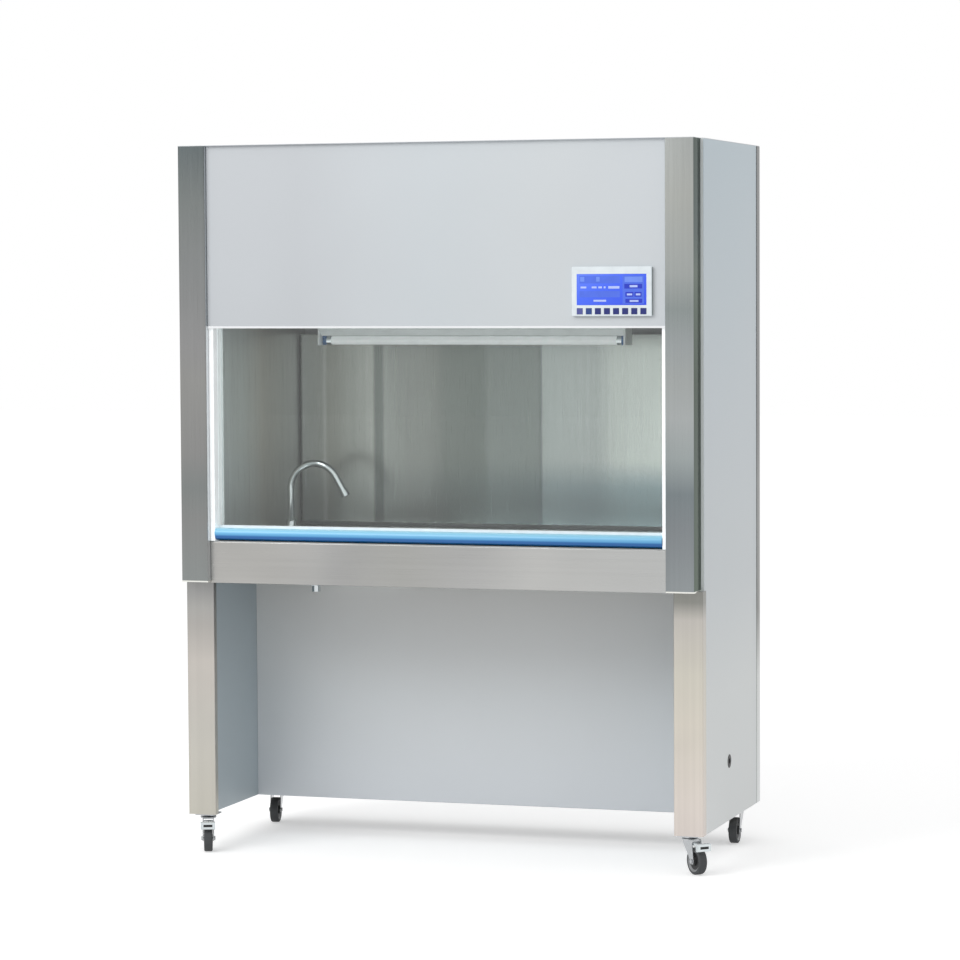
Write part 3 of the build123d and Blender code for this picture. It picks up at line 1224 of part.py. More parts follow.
# Brake pedals: a hub on the fork's cross pin, an arm, and the foot plate over the wheel
def brake_pedal(corner):
    floor = castor_plane(corner)
    pivot_y, pivot_z = PEDAL_PIVOT
    arm_half = fork_inner - FORK_GAP
    with BuildPart() as pedal:
        with BuildSketch(upright_plane_at(floor, -arm_half, 0, 0)):
            with BuildLine():
                Polyline(
                    (pivot_y, pivot_z + PEDAL_SHEET),
                    (-PEDAL_REACH - TOE_ROUND, pivot_z + PEDAL_RISE),
                    (-PEDAL_REACH - TOE_ROUND, pivot_z + PEDAL_RISE - 2 * PEDAL_SHEET),
                    (pivot_y, pivot_z - PEDAL_SHEET),
                    close=True,
                )
            make_face()
            with Locations((pivot_y, pivot_z)):
                Circle(PEDAL_HUB)
                Circle(PEDAL_PIN + RUNNING, mode=Mode.SUBTRACT)
        extrude(amount=2 * arm_half)
        toe_top = pivot_z + PEDAL_RISE
        toe_centre = (-PEDAL_REACH - TOE_DEPTH / 2, toe_top - TOE_HEIGHT / 2)
        with BuildSketch(upright_plane_at(floor, -TOE_WIDTH / 2, 0, 0)):
            with Locations(toe_centre):
                RectangleRounded(TOE_DEPTH, TOE_HEIGHT, TOE_ROUND)
        extrude(amount=TOE_WIDTH)
        with BuildSketch(upright_plane_at(floor, -TREAD_WIDTH / 2, 0, 0)):
            with Locations((-PEDAL_REACH - TOE_DEPTH + TREAD_DEPTH / 2, toe_centre[1])):
                Rectangle(TREAD_DEPTH, TREAD_HEIGHT)
        extrude(amount=TREAD_WIDTH, mode=Mode.SUBTRACT)
    save(pedal, f"{corner}_brake_pedal")


for corner in CASTOR_SIDES:
    castor_fork(corner)
    castor_wheel(corner)
    if corner.startswith("front"):
        brake_pedal(corner)
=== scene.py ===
"""Looks of a walk-up fume hood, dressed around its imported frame.

Lengths are metres in the frame's own axes: +X to the right, the front towards -Y, +Z up.
Every piece takes its place from the box of the frame node that it dresses or sits on.
"""

from __future__ import annotations

import json
import logging
import math
from dataclasses import dataclass, field
from enum import Enum
from typing import Callable, Iterable, Sequence

import bmesh
import bpy
import mathutils
import numpy as np
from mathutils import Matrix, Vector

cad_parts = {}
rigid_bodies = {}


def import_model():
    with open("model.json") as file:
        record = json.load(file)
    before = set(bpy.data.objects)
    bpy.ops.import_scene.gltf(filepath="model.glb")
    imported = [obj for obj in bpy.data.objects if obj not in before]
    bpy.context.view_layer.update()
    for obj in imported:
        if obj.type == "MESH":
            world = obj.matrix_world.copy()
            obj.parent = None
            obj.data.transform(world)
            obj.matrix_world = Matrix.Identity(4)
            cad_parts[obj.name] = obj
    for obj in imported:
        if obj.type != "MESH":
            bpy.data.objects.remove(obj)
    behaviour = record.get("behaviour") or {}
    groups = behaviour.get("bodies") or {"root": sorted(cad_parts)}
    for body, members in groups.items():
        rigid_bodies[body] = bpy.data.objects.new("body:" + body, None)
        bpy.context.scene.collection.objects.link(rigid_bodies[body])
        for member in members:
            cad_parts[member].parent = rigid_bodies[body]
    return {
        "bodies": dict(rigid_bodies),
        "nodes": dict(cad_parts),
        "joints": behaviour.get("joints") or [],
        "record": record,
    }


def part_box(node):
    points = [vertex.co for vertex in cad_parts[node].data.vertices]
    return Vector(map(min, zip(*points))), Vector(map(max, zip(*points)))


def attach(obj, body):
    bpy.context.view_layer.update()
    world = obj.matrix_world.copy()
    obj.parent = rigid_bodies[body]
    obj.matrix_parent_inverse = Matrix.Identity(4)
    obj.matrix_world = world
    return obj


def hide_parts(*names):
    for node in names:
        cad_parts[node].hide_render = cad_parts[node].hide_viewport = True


LOG = logging.getLogger("fume_hood")
MM = 0.001
IMAGE_SIDE = 960
WELD = 1e-5

Array = np.ndarray
Colour = tuple[float, float, float]
Stops = tuple[tuple[float, Colour], ...]


def shade(red: int, green: int, blue: int) -> Colour:
    """Turn a screen colour into the linear one that a shader takes.

    Args:
        red: Red as seen on a screen, 0 to 255.
        green: Green, likewise.
        blue: Blue, likewise.

    Returns:
        The three linear values, by the usual screen curve.
    """
    seen = np.array([red, green, blue]) / 255
    low = seen / 12.92
    high = ((seen + 0.055) / 1.055) ** 2.4
    return tuple(float(v) for v in np.where(seen <= 0.04045, low, high))


def evenly(*colours: Colour) -> Stops:
    """Space colours evenly from 0 to 1."""
    last = max(len(colours) - 1, 1)
    return tuple((number / last, colour) for number, colour in enumerate(colours))


class Way(Enum):
    """Direction in which a sheet was brushed, as stretch factors of its grain."""

    UPRIGHT = (1.0, 1.0, 0.006)
    ACROSS = (0.006, 1.0, 1.0)
    ENDLONG = (1.0, 0.006, 1.0)
    NONE = (1.0, 1.0, 1.0)


class Hand(Enum):
    """Left or right side of the hood, with its sign along X."""

    LEFT = ("left", -1)
    RIGHT = ("right", 1)


# Node boards: short ways to place and join shader nodes


class Board:
    """A node tree with short calls for placing and joining nodes."""

    def __init__(self, tree: bpy.types.NodeTree) -> None:
        """Keep the tree that the calls work on."""
        self.tree = tree

    def put(self, kind: str, inputs: dict | None = None, **settings: object) -> bpy.types.Node:
        """Place a node and fill its inputs.

        Args:
            kind: Blender's name of the node type.
            inputs: Values or sockets by input name or number.
            settings: Properties of the node itself.

        Returns:
            The new node.
        """
        node = self.tree.nodes.new(kind)
        for name, value in settings.items():
            setattr(node, name, value)
        for key, value in (inputs or {}).items():
            if isinstance(value, bpy.types.NodeSocket):
                self.tree.links.new(value, node.inputs[key])
            else:
                node.inputs[key].default_value = value
        return node

    def group(self, tree: bpy.types.NodeTree, inputs: dict) -> bpy.types.Node:
        """Place a shared group and fill its inputs."""
        node = self.put("ShaderNodeGroup", node_tree=tree)
        for key, value in inputs.items():
            if isinstance(value, bpy.types.NodeSocket):
                self.tree.links.new(value, node.inputs[key])
            else:
                node.inputs[key].default_value = value
        return node

    def ramp(self, factor: bpy.types.NodeSocket, stops: Stops) -> bpy.types.NodeSocket:
        """Place a colour ramp.

        Args:
            factor: What drives the ramp.
            stops: Positions from 0 to 1 with their colours.

        Returns:
            The ramp's colour output.
        """
        node = self.put("ShaderNodeValToRGB", {"Fac": factor})
        elements = node.color_ramp.elements
        while len(elements) > 1:
            elements.remove(elements[-1])
        for index, (place, colour) in enumerate(stops):
            element = elements[0] if index == 0 else elements.new(place)
            element.position = place
            element.color = (*colour, 1)
        return node.outputs["Color"]

    def mix(self, factor: object, first: object, second: object, blend: str = "MIX") -> bpy.types.NodeSocket:
        """Blend two colours and return the result's socket."""
        node = self.put("ShaderNodeMix", data_type="RGBA", blend_type=blend)
        for index, value in ((0, factor), (6, first), (7, second)):
            if isinstance(value, bpy.types.NodeSocket):
                self.tree.links.new(value, node.inputs[index])
            elif isinstance(value, tuple):
                node.inputs[index].default_value = (*value, 1)
            else:
                node.inputs[index].default_value = value
        return node.outputs[2]

    def span(
        self, value: object, low: float, high: float, new_low: float, new_high: float
    ) -> bpy.types.NodeSocket:
        """Carry a value from one span to another, held at the ends."""
        node = self.put(
            "ShaderNodeMapRange",
            {"Value": value, "From Min": low, "From Max": high, "To Min": new_low, "To Max": new_high},
        )
        return node.outputs["Result"]

    def sum(self, operation: str, first: object, second: object) -> bpy.types.NodeSocket:
        """Place a two-value maths node and return its output."""
        return self.put("ShaderNodeMath", {0: first, 1: second}, operation=operation).outputs[0]


class GroupShelf:
    """Shader groups that several finishes share, each built once."""

    def __init__(self) -> None:
        """Start with an empty shelf."""
        self._made: dict[str, bpy.types.NodeTree] = {}

    def _start(self, name: str, inputs: dict[str, object], outputs: Iterable[str]) -> tuple:
        """Make a group with named sockets.

        Args:
            name: Name of the group.
            inputs: Input names with their defaults; a tuple makes a vector.
            outputs: Names of the value outputs.

        Returns:
            The tree, its board, its input node and its output node.
        """
        tree = bpy.data.node_groups.new(name, "ShaderNodeTree")
        for key, value in inputs.items():
            kind = "NodeSocketVector" if isinstance(value, tuple) else "NodeSocketFloat"
            socket = tree.interface.new_socket(key, in_out="INPUT", socket_type=kind)
            socket.default_value = value
        for key in outputs:
            tree.interface.new_socket(key, in_out="OUTPUT", socket_type="NodeSocketFloat")
        board = Board(tree)
        return tree, board, board.put("NodeGroupInput"), board.put("NodeGroupOutput")

    def grain(self) -> bpy.types.NodeTree:
        """Brushing marks: noise drawn out along one axis, in a fine and a coarse layer."""
        if "grain" not in self._made:
            tree, board, given, result = self._start(
                "brushed_grain",
                {"Vector": (0.0, 0.0, 0.0), "Stretch": (1.0, 1.0, 1.0), "Fineness": 900.0},
                ("Fine", "Coarse"),
            )
            drawn = board.put(
                "ShaderNodeVectorMath",
                {0: given.outputs["Vector"], 1: given.outputs["Stretch"]},
                operation="MULTIPLY",
            )
            for name, share in (("Fine", 1.0), ("Coarse", 0.09)):
                scale = board.sum("MULTIPLY", given.outputs["Fineness"], share)
                noise = board.put(
                    "ShaderNodeTexNoise", {"Vector": drawn.outputs[0], "Scale": scale, "Detail": 3.0}
                )
                tree.links.new(noise.outputs["Fac"], result.inputs[name])
            self._made["grain"] = tree
        return self._made["grain"]

    def haze(self) -> bpy.types.NodeTree:
        """Slow cloudy change over a surface, as handling and light reflections leave it."""
        if "haze" not in self._made:
            tree, board, given, result = self._start(
                "surface_haze",
                {"Vector": (0.0, 0.0, 0.0), "Stretch": (1.0, 1.0, 1.0), "Size": 3.0, "Contrast": 1.0},
                ("Haze",),
            )
            drawn = board.put(
                "ShaderNodeVectorMath",
                {0: given.outputs["Vector"], 1: given.outputs["Stretch"]},
                operation="MULTIPLY",
            )
            noise = board.put(
                "ShaderNodeTexNoise",
                {
                    "Vector": drawn.outputs[0],
                    "Scale": given.outputs["Size"],
                    "Detail": 2.0,
                    "Distortion": 0.4,
                },
            )
            centred = board.sum("SUBTRACT", noise.outputs["Fac"], 0.5)
            stronger = board.sum("MULTIPLY", centred, given.outputs["Contrast"])
            raised = board.put("ShaderNodeMath", {0: stronger, 1: 0.5}, operation="ADD", use_clamp=True)
            tree.links.new(raised.outputs[0], result.inputs["Haze"])
            self._made["haze"] = tree
        return self._made["haze"]

    def peel(self) -> bpy.types.NodeTree:
        """Orange peel of powder coat or moulded plastic: soft lumps with a finer speckle."""
        if "peel" not in self._made:
            tree, board, given, result = self._start(
                "coat_peel", {"Vector": (0.0, 0.0, 0.0), "Lump": 650.0}, ("Height", "Speckle")
            )
            lumps = board.put(
                "ShaderNodeTexNoise",
                {"Vector": given.outputs["Vector"], "Scale": given.outputs["Lump"], "Detail": 1.0},
            )
            finer = board.sum("MULTIPLY", given.outputs["Lump"], 3.2)
            speckle = board.put(
                "ShaderNodeTexNoise", {"Vector": given.outputs["Vector"], "Scale": finer, "Detail": 0.0}
            )
            tree.links.new(lumps.outputs["Fac"], result.inputs["Height"])
            tree.links.new(speckle.outputs["Fac"], result.inputs["Speckle"])
            self._made["peel"] = tree
        return self._made["peel"]

    def dust(self) -> bpy.types.NodeTree:
        """Mask of fine dust: faces that look up, broken by noise."""
        if "dust" not in self._made:
            tree, board, given, result = self._start(
                "settled_dust", {"Vector": (0.0, 0.0, 0.0), "Amount": 0.3}, ("Mask",)
            )
            normal = board.put("ShaderNodeNewGeometry").outputs["Normal"]
            upward = board.put("ShaderNodeSeparateXYZ", {0: normal}).outputs["Z"]
            facing = board.span(upward, 0.4, 0.95, 0.0, 1.0)
            noise = board.put(
                "ShaderNodeTexNoise", {"Vector": given.outputs["Vector"], "Scale": 22.0, "Detail": 5.0}
            )
            patchy = board.span(noise.outputs["Fac"], 0.35, 0.7, 0.2, 1.0)
            both = board.sum("MULTIPLY", facing, patchy)
            tree.links.new(board.sum("MULTIPLY", both, given.outputs["Amount"]), result.inputs["Mask"])
            self._made["dust"] = tree
        return self._made["dust"]


SHELF = GroupShelf()


def start_material(name: str) -> tuple[bpy.types.Material, Board, bpy.types.Node, bpy.types.NodeSocket]:
    """Begin a material.

    Args:
        name: Name of the material.

    Returns:
        The material, its board, its Principled BSDF and the object coordinates.
    """
    material = bpy.data.materials.new(name)
    material.use_nodes = True
    board = Board(material.node_tree)
    principled = material.node_tree.nodes["Principled BSDF"]
    place = board.put("ShaderNodeTexCoord").outputs["Object"]
    return material, board, principled, place


def join(board: Board, principled: bpy.types.Node, inputs: dict[str, object]) -> None:
    """Set or link inputs of the Principled BSDF.

    Args:
        board: The material's board.
        principled: The shader.
        inputs: Values or sockets by input name.
    """
    for name, value in inputs.items():
        socket = principled.inputs[name]
        if isinstance(value, bpy.types.NodeSocket):
            board.tree.links.new(value, socket)
        elif isinstance(value, tuple) and len(value) == 3:
            socket.default_value = (*value, 1)
        else:
            socket.default_value = value


def bump(
    board: Board, height: bpy.types.NodeSocket, strength: float, distance: float
) -> bpy.types.NodeSocket:
    """Place a bump node and return its normal."""
    node = board.put("ShaderNodeBump", {"Height": height, "Strength": strength, "Distance": distance})
    return node.outputs["Normal"]


@dataclass(frozen=True)
class Steel:
    """Stainless or zinc-coated sheet: metal with brushing marks and a slow change of tone.

    The stops run along one axis over the span: painted reflections of the room behind the camera, and painted
    shade, as a real sheet shows them.
    """

    name: str
    stops: Stops
    span: tuple[float, float] = (0.0, 2.0)
    axis: str = "Z"
    way: Way = Way.UPRIGHT
    roughness: float = 0.3
    marks: float = 0.07
    clouds: float = 0.12
    cloud_size: float = 2.0
    cloud_stretch: tuple[float, float, float] = (1.0, 1.0, 1.0)
    metallic: float = 1.0
    relief: float = 0.12
    edge_tint: Colour = (1.0, 1.0, 1.0)
    # foot: span of heights below which the sheet takes a painted shade, stronger to the right.
    foot: tuple[float, float] | None = None
    foot_shade_across: tuple[float, float] = (-0.3, 0.4)
    foot_shade_tint: Colour = (0.5, 0.6, 0.66)

    def build(self) -> bpy.types.Material:
        """Make the material; below a foot's span of heights a painted shade darkens the tone, more so to the
        right.
        """
        material, board, principled, place = start_material(self.name)
        parts = board.put("ShaderNodeSeparateXYZ", {0: place})
        factor = board.span(parts.outputs[self.axis], *self.span, 0.0, 1.0)
        tone = board.ramp(factor, self.stops)
        if self.foot:
            # Painted shade over the foot, stronger to the right.
            low = board.span(parts.outputs["Z"], *self.foot, 1.0, 0.0)
            across = board.span(parts.outputs["X"], *self.foot_shade_across, 0.2, 1.0)
            tone = board.mix(board.sum("MULTIPLY", low, across), tone, self.foot_shade_tint, "MULTIPLY")
        haze = board.group(
            SHELF.haze(),
            {"Vector": place, "Stretch": self.cloud_stretch, "Size": self.cloud_size, "Contrast": 2.2},
        )
        grain = board.group(SHELF.grain(), {"Vector": place, "Stretch": self.way.value})
        cloudy = board.span(haze.outputs["Haze"], 0.0, 1.0, 1 - self.clouds, 1 + self.clouds)
        marked = board.span(grain.outputs["Coarse"], 0.3, 0.7, 1 - self.marks / 2, 1 + self.marks / 2)
        both = board.sum("MULTIPLY", cloudy, marked)
        grey = board.put("ShaderNodeCombineXYZ", {0: both, 1: both, 2: both}).outputs[0]
        colour = board.mix(1.0, tone, grey, "MULTIPLY")
        rough = board.span(grain.outputs["Fine"], 0.2, 0.8, self.roughness * 0.8, self.roughness * 1.25)
        join(
            board,
            principled,
            {
                "Base Color": colour,
                "Metallic": self.metallic,
                "Roughness": rough,
                "Specular Tint": self.edge_tint,
                "Normal": bump(board, grain.outputs["Fine"], self.relief, 0.0002),
            },
        )
        return material


@dataclass(frozen=True)
class Coat:
    """Powder coat or enamel on sheet: fine peel, faint clouds, and a change of tone by height."""

    name: str
    stops: Stops
    span: tuple[float, float] = (0.0, 2.0)
    axis: str = "Z"
    roughness: float = 0.42
    lump: float = 650.0
    relief: float = 0.10
    dust: float = 0.15

    def build(self) -> bpy.types.Material:
        """Make the material."""
        material, board, principled, place = start_material(self.name)
        along = board.put("ShaderNodeSeparateXYZ", {0: place}).outputs[self.axis]
        factor = board.span(along, *self.span, 0.0, 1.0)
        tone = board.ramp(factor, self.stops)
        peel = board.group(SHELF.peel(), {"Vector": place, "Lump": self.lump})
        haze = board.group(SHELF.haze(), {"Vector": place, "Size": 1.7, "Contrast": 1.5})
        dust = board.group(SHELF.dust(), {"Vector": place, "Amount": self.dust})
        speckled = board.span(peel.outputs["Speckle"], 0.3, 0.7, 0.985, 1.015)
        cloudy = board.span(haze.outputs["Haze"], 0.0, 1.0, 0.97, 1.03)
        both = board.sum("MULTIPLY", speckled, cloudy)
        grey = board.put("ShaderNodeCombineXYZ", {0: both, 1: both, 2: both}).outputs[0]
        clean = board.mix(1.0, tone, grey, "MULTIPLY")
        colour = board.mix(dust.outputs["Mask"], clean, shade(190, 188, 182))
        rough = board.span(haze.outputs["Haze"], 0.0, 1.0, self.roughness - 0.04, self.roughness + 0.05)
        join(
            board,
            principled,
            {
                "Base Color": colour,
                "Roughness": rough,
                "Normal": bump(board, peel.outputs["Height"], self.relief, 0.0002),
            },
        )
        return material


@dataclass(frozen=True)
class Moulding:
    """Moulded or turned plastic, rubber or nylon, with a fine skin texture."""

    name: str
    colour: Colour
    roughness: float = 0.4
    lump: float = 900.0
    relief: float = 0.15
    dust: float = 0.1
    coat: float = 0.0
    # glow makes a part give off light though it is no lamp: painted light.
    glow: float = 0.0

    def build(self) -> bpy.types.Material:
        """Make the material."""
        material, board, principled, place = start_material(self.name)
        peel = board.group(SHELF.peel(), {"Vector": place, "Lump": self.lump})
        haze = board.group(SHELF.haze(), {"Vector": place, "Size": 30.0, "Contrast": 1.5})
        dust = board.group(SHELF.dust(), {"Vector": place, "Amount": self.dust})
        tone = board.span(haze.outputs["Haze"], 0.0, 1.0, 0.92, 1.08)
        grey = board.put("ShaderNodeCombineXYZ", {0: tone, 1: tone, 2: tone}).outputs[0]
        clean = board.mix(1.0, self.colour, grey, "MULTIPLY")
        colour = board.mix(dust.outputs["Mask"], clean, shade(170, 168, 162))
        rough = board.span(peel.outputs["Speckle"], 0.2, 0.8, self.roughness * 0.9, self.roughness * 1.12)
        join(
            board,
            principled,
            {
                "Base Color": colour,
                "Roughness": rough,
                "Coat Weight": self.coat,
                "Emission Color": colour,
                "Emission Strength": self.glow,
                "Normal": bump(board, peel.outputs["Height"], self.relief, 0.0002),
            },
        )
        return material


@dataclass(frozen=True)
class BandedGloss:
    """Glossy extrusion whose tone changes round its section, read from the height: a painted highlight along
    its top and painted shade along its underside.
    """

    name: str
    stops: Stops
    span: tuple[float, float]
    roughness: float = 0.3

    def build(self) -> bpy.types.Material:
        """Make the material."""
        material, board, principled, place = start_material(self.name)
        height = board.put("ShaderNodeSeparateXYZ", {0: place}).outputs["Z"]
        tone = board.ramp(board.span(height, *self.span, 0.0, 1.0), self.stops)
        grain = board.group(SHELF.grain(), {"Vector": place, "Stretch": Way.ACROSS.value})
        streak = board.span(grain.outputs["Coarse"], 0.3, 0.7, 0.96, 1.04)
        grey = board.put("ShaderNodeCombineXYZ", {0: streak, 1: streak, 2: streak}).outputs[0]
        rough = board.span(grain.outputs["Fine"], 0.2, 0.8, self.roughness * 0.85, self.roughness * 1.2)
        join(
            board,
            principled,
            {
                "Base Color": board.mix(1.0, tone, grey, "MULTIPLY"),
                "Roughness": rough,
                "Coat Weight": 0.1,
                "Normal": bump(board, grain.outputs["Fine"], 0.03, 0.0002),
            },
        )
        return material


@dataclass(frozen=True)
class ClearGlass:
    """Clear sheet glass that lets light rays through to what stands behind it."""

    name: str
    tint: Colour
    roughness: float = 0.01

    def build(self) -> bpy.types.Material:
        """Make the material."""
        material, board, principled, place = start_material(self.name)
        haze = board.group(SHELF.haze(), {"Vector": place, "Size": 4.0, "Contrast": 2.0})
        rough = board.span(haze.outputs["Haze"], 0.5, 1.0, self.roughness, self.roughness + 0.02)
        join(
            board,
            principled,
            {"Base Color": self.tint, "Roughness": rough, "Transmission Weight": 1.0, "IOR": 1.5},
        )
        rays = board.put("ShaderNodeLightPath")
        light = board.put(
            "ShaderNodeMath",
            {0: rays.outputs["Is Shadow Ray"], 1: rays.outputs["Is Diffuse Ray"]},
            operation="MAXIMUM",
        )
        clear = board.put("ShaderNodeBsdfTransparent", {"Color": (0.93, 0.95, 0.95, 1)})
        both = board.put(
            "ShaderNodeMixShader", {0: light.outputs[0], 1: principled.outputs[0], 2: clear.outputs[0]}
        )
        out = board.tree.nodes["Material Output"]
        board.tree.links.new(both.outputs[0], out.inputs["Surface"])
        return material


@dataclass(frozen=True)
class LitScreen:
    """Backlit display: a soft diagonal change of blue that gives off a little light."""

    name: str
    stops: Stops
    low: tuple[float, float]
    high: tuple[float, float]
    glow: float = 0.25

    def build(self) -> bpy.types.Material:
        """Make the material."""
        material, board, principled, place = start_material(self.name)
        parts = board.put("ShaderNodeSeparateXYZ", {0: place})
        right = board.span(parts.outputs["X"], self.low[0], self.high[0], 0.0, 0.55)
        down = board.span(parts.outputs["Z"], self.high[1], self.low[1], 0.0, 0.45)
        colour = board.ramp(board.sum("ADD", right, down), self.stops)
        rows = board.put(
            "ShaderNodeTexWave", {"Vector": place, "Scale": 900.0}, wave_type="BANDS", bands_direction="Z"
        )
        fine = board.span(rows.outputs["Fac"], 0.0, 1.0, 0.94, 1.0)
        grey = board.put("ShaderNodeCombineXYZ", {0: fine, 1: fine, 2: fine}).outputs[0]
        shown = board.mix(1.0, colour, grey, "MULTIPLY")
        join(
            board,
            principled,
            {
                "Base Color": shown,
                "Emission Color": shown,
                "Emission Strength": self.glow,
                "Roughness": 0.18,
                "Coat Weight": 0.2,
            },
        )
        return material


def material_of(finish: object) -> bpy.types.Material:
    """Build a finish's material at its first use and hand out the same one after that."""
    if finish.name not in bpy.data.materials:
        finish.build()
    return bpy.data.materials[finish.name]


# Finishes, with colours as they read on a screen

# Darker to the left and lighter to the right: painted light falling across the fascia.
FASCIA_PAINT = Coat(
    "fascia_paint",
    (
        (0.0, shade(185, 189, 193)),
        (0.2, shade(186, 190, 194)),
        (0.35, shade(193, 198, 202)),
        (0.5, shade(197, 203, 207)),
        (0.77, shade(203, 208, 211)),
        (1.0, shade(205, 210, 214)),
    ),
    (-0.66, 0.66),
    axis="X",
    roughness=0.45,
)
# Lighter towards the bottom and darker towards the top: painted light and shade on the side panels.
SIDE_PAINT = Coat(
    "side_paint",
    (
        (0.0, shade(226, 229, 229)),
        (0.2, shade(221, 225, 225)),
        (0.36, shade(208, 214, 217)),
        (0.6, shade(205, 213, 218)),
        (1.0, shade(195, 209, 217)),
    ),
    (0.1, 2.0),
)
KNEE_PAINT = Coat(
    "knee_paint", evenly(shade(218, 223, 228), shade(222, 226, 228), shade(226, 226, 224)), (0.1, 0.75)
)
# A lighter copy of the side paint on the side panels' front edges: a painted highlight.
PANEL_EDGE_HIGHLIGHT = Coat("panel_edge_highlight", evenly(shade(236, 242, 242)))
# The leg liners are painted darker than the side panels, and darker still towards the top: painted shade
# under the worktop.
LEG_PAINT = Coat("leg_paint", evenly(shade(188, 200, 206), shade(180, 192, 198)), (0.1, 0.75))
BACK_PAINT = Coat("back_paint", evenly(shade(206, 209, 210), shade(200, 204, 208)))
FRAME_PAINT = Coat("frame_paint", evenly(shade(120, 124, 126), shade(126, 130, 132)), roughness=0.5)
HEM_STEEL = Steel("hem_steel", evenly(shade(236, 238, 240)), way=Way.ACROSS, roughness=0.18, clouds=0.05)
# A bright band at the foot of each column: a painted highlight on its lower edge.
LIP_HIGHLIGHT_STEEL = Steel("lip_highlight_steel", evenly(shade(238, 238, 232)), way=Way.ACROSS, roughness=0.15, clouds=0.05)
# Tones by height on the columns are painted reflections and shade; the left column is painted darker than the
# right.
LEFT_COLUMN_STEEL = Steel(
    "left_column_steel",
    (
        (0.0, shade(138, 142, 141)),
        (0.14, shade(134, 135, 134)),
        (0.22, shade(127, 131, 130)),
        (0.3, shade(138, 138, 137)),
        (0.47, shade(143, 143, 141)),
        (0.55, shade(140, 140, 140)),
        (0.71, shade(127, 129, 129)),
        (0.88, shade(109, 113, 112)),
        (1.0, shade(86, 92, 93)),
    ),
    (0.78, 2.0),
    cloud_stretch=(1.0, 1.0, 0.5),
)
RIGHT_COLUMN_STEEL = Steel(
    "right_column_steel",
    (
        (0.0, shade(138, 143, 145)),
        (0.14, shade(128, 133, 136)),
        (0.22, shade(122, 130, 133)),
        (0.3, shade(156, 163, 163)),
        (0.39, shade(171, 175, 175)),
        (0.47, shade(165, 169, 168)),
        (0.55, shade(156, 161, 162)),
        (0.63, shade(141, 148, 147)),
        (0.71, shade(158, 162, 160)),
        (0.88, shade(164, 166, 162)),
        (1.0, shade(160, 163, 161)),
    ),
    (0.78, 2.0),
    cloud_stretch=(1.0, 1.0, 0.5),
)
# Dark tones on the columns' outer sides: a painted reflection of a dark room.
DARK_REFLECTION_STEEL = Steel(
    "dark_reflection_steel",
    (
        (0.0, shade(88, 100, 88)),
        (0.35, shade(86, 95, 90)),
        (0.5, shade(78, 88, 80)),
        (0.65, shade(94, 106, 98)),
        (0.73, shade(114, 122, 116)),
        (0.81, shade(94, 104, 106)),
        (1.0, shade(82, 92, 90)),
    ),
    (0.7, 2.0),
    roughness=0.14,
    cloud_stretch=(1.0, 1.0, 0.3),
    edge_tint=(0.62, 0.64, 0.62),
)
# A light tone on the columns' inner returns: a painted reflection of the white guides.
GUIDE_REFLECTION_STEEL = Steel("guide_reflection_steel", evenly(shade(206, 210, 212)), marks=0.03, clouds=0.03)
# Light low down and dark above: painted reflections of the floor and of a dark room on the rear corner
# strips.
STRIP_STEEL = Steel(
    "strip_steel",
    (
        (0.0, shade(196, 200, 200)),
        (0.2, shade(176, 180, 178)),
        (0.3, shade(60, 64, 58)),
        (0.5, shade(70, 74, 72)),
        (0.56, shade(26, 30, 28)),
        (1.0, shade(34, 38, 38)),
    ),
    (0.1, 2.0),
    roughness=0.14,
    cloud_stretch=(1.0, 1.0, 0.3),
)
# Darker towards the top: painted shadow and reflection of the column above each post; the two posts take
# different painted tones.
LEFT_POST_STEEL = Steel(
    "left_post_steel",
    (
        (0.0, shade(187, 184, 174)),
        (0.36, shade(183, 180, 173)),
        (0.65, shade(186, 181, 175)),
        (0.8, shade(166, 163, 159)),
        (0.87, shade(161, 160, 157)),
        (0.94, shade(146, 146, 145)),
        (1.0, shade(132, 132, 131)),
    ),
    (0.1, 0.79),
    roughness=0.34,
    cloud_stretch=(1.0, 1.0, 1.6),
    clouds=0.06,
)
RIGHT_POST_STEEL = Steel(
    "right_post_steel",
    (
        (0.0, shade(203, 194, 188)),
        (0.45, shade(205, 199, 188)),
        (0.65, shade(197, 193, 182)),
        (0.87, shade(184, 180, 174)),
        (0.94, shade(138, 138, 133)),
        (1.0, shade(135, 135, 130)),
    ),
    (0.1, 0.79),
    roughness=0.34,
    cloud_stretch=(1.0, 1.0, 1.6),
    clouds=0.06,
)
# Tones across the apron: painted reflections, darker in the middle.
APRON_STEEL = Steel(
    "apron_steel",
    (
        (0.0, shade(174, 173, 170)),
        (0.14, shade(171, 170, 167)),
        (0.29, shade(162, 162, 161)),
        (0.43, shade(162, 162, 159)),
        (0.57, shade(169, 169, 168)),
        (0.71, shade(180, 180, 178)),
        (1.0, shade(184, 185, 184)),
    ),
    (-0.7, 0.7),
    axis="X",
    way=Way.ACROSS,
    marks=0.05,
)
WORKTOP_STEEL = Steel(
    "worktop_steel",
    evenly(shade(176, 180, 180), shade(206, 210, 210)),
    (-0.4, 0.4),
    axis="Y",
    way=Way.ACROSS,
)
SINK_STEEL = Steel(
    "sink_steel",
    evenly(shade(176, 180, 180), shade(204, 208, 208)),
    (0.74, 0.9),
    way=Way.ACROSS,
    roughness=0.35,
)
# Lighter at the front and darker towards the back: painted light and reflection on the side liners.
LINER_STEEL = Steel(
    "liner_steel",
    evenly(
        shade(222, 228, 228),
        shade(214, 220, 218),
        shade(186, 184, 176),
        shade(168, 170, 164),
        shade(180, 182, 178),
    ),
    (-0.29, 0.32),
    axis="Y",
    roughness=0.3,
    metallic=0.6,
    clouds=0.08,
    cloud_stretch=(1.0, 3.0, 0.4),
    relief=0.04,
)
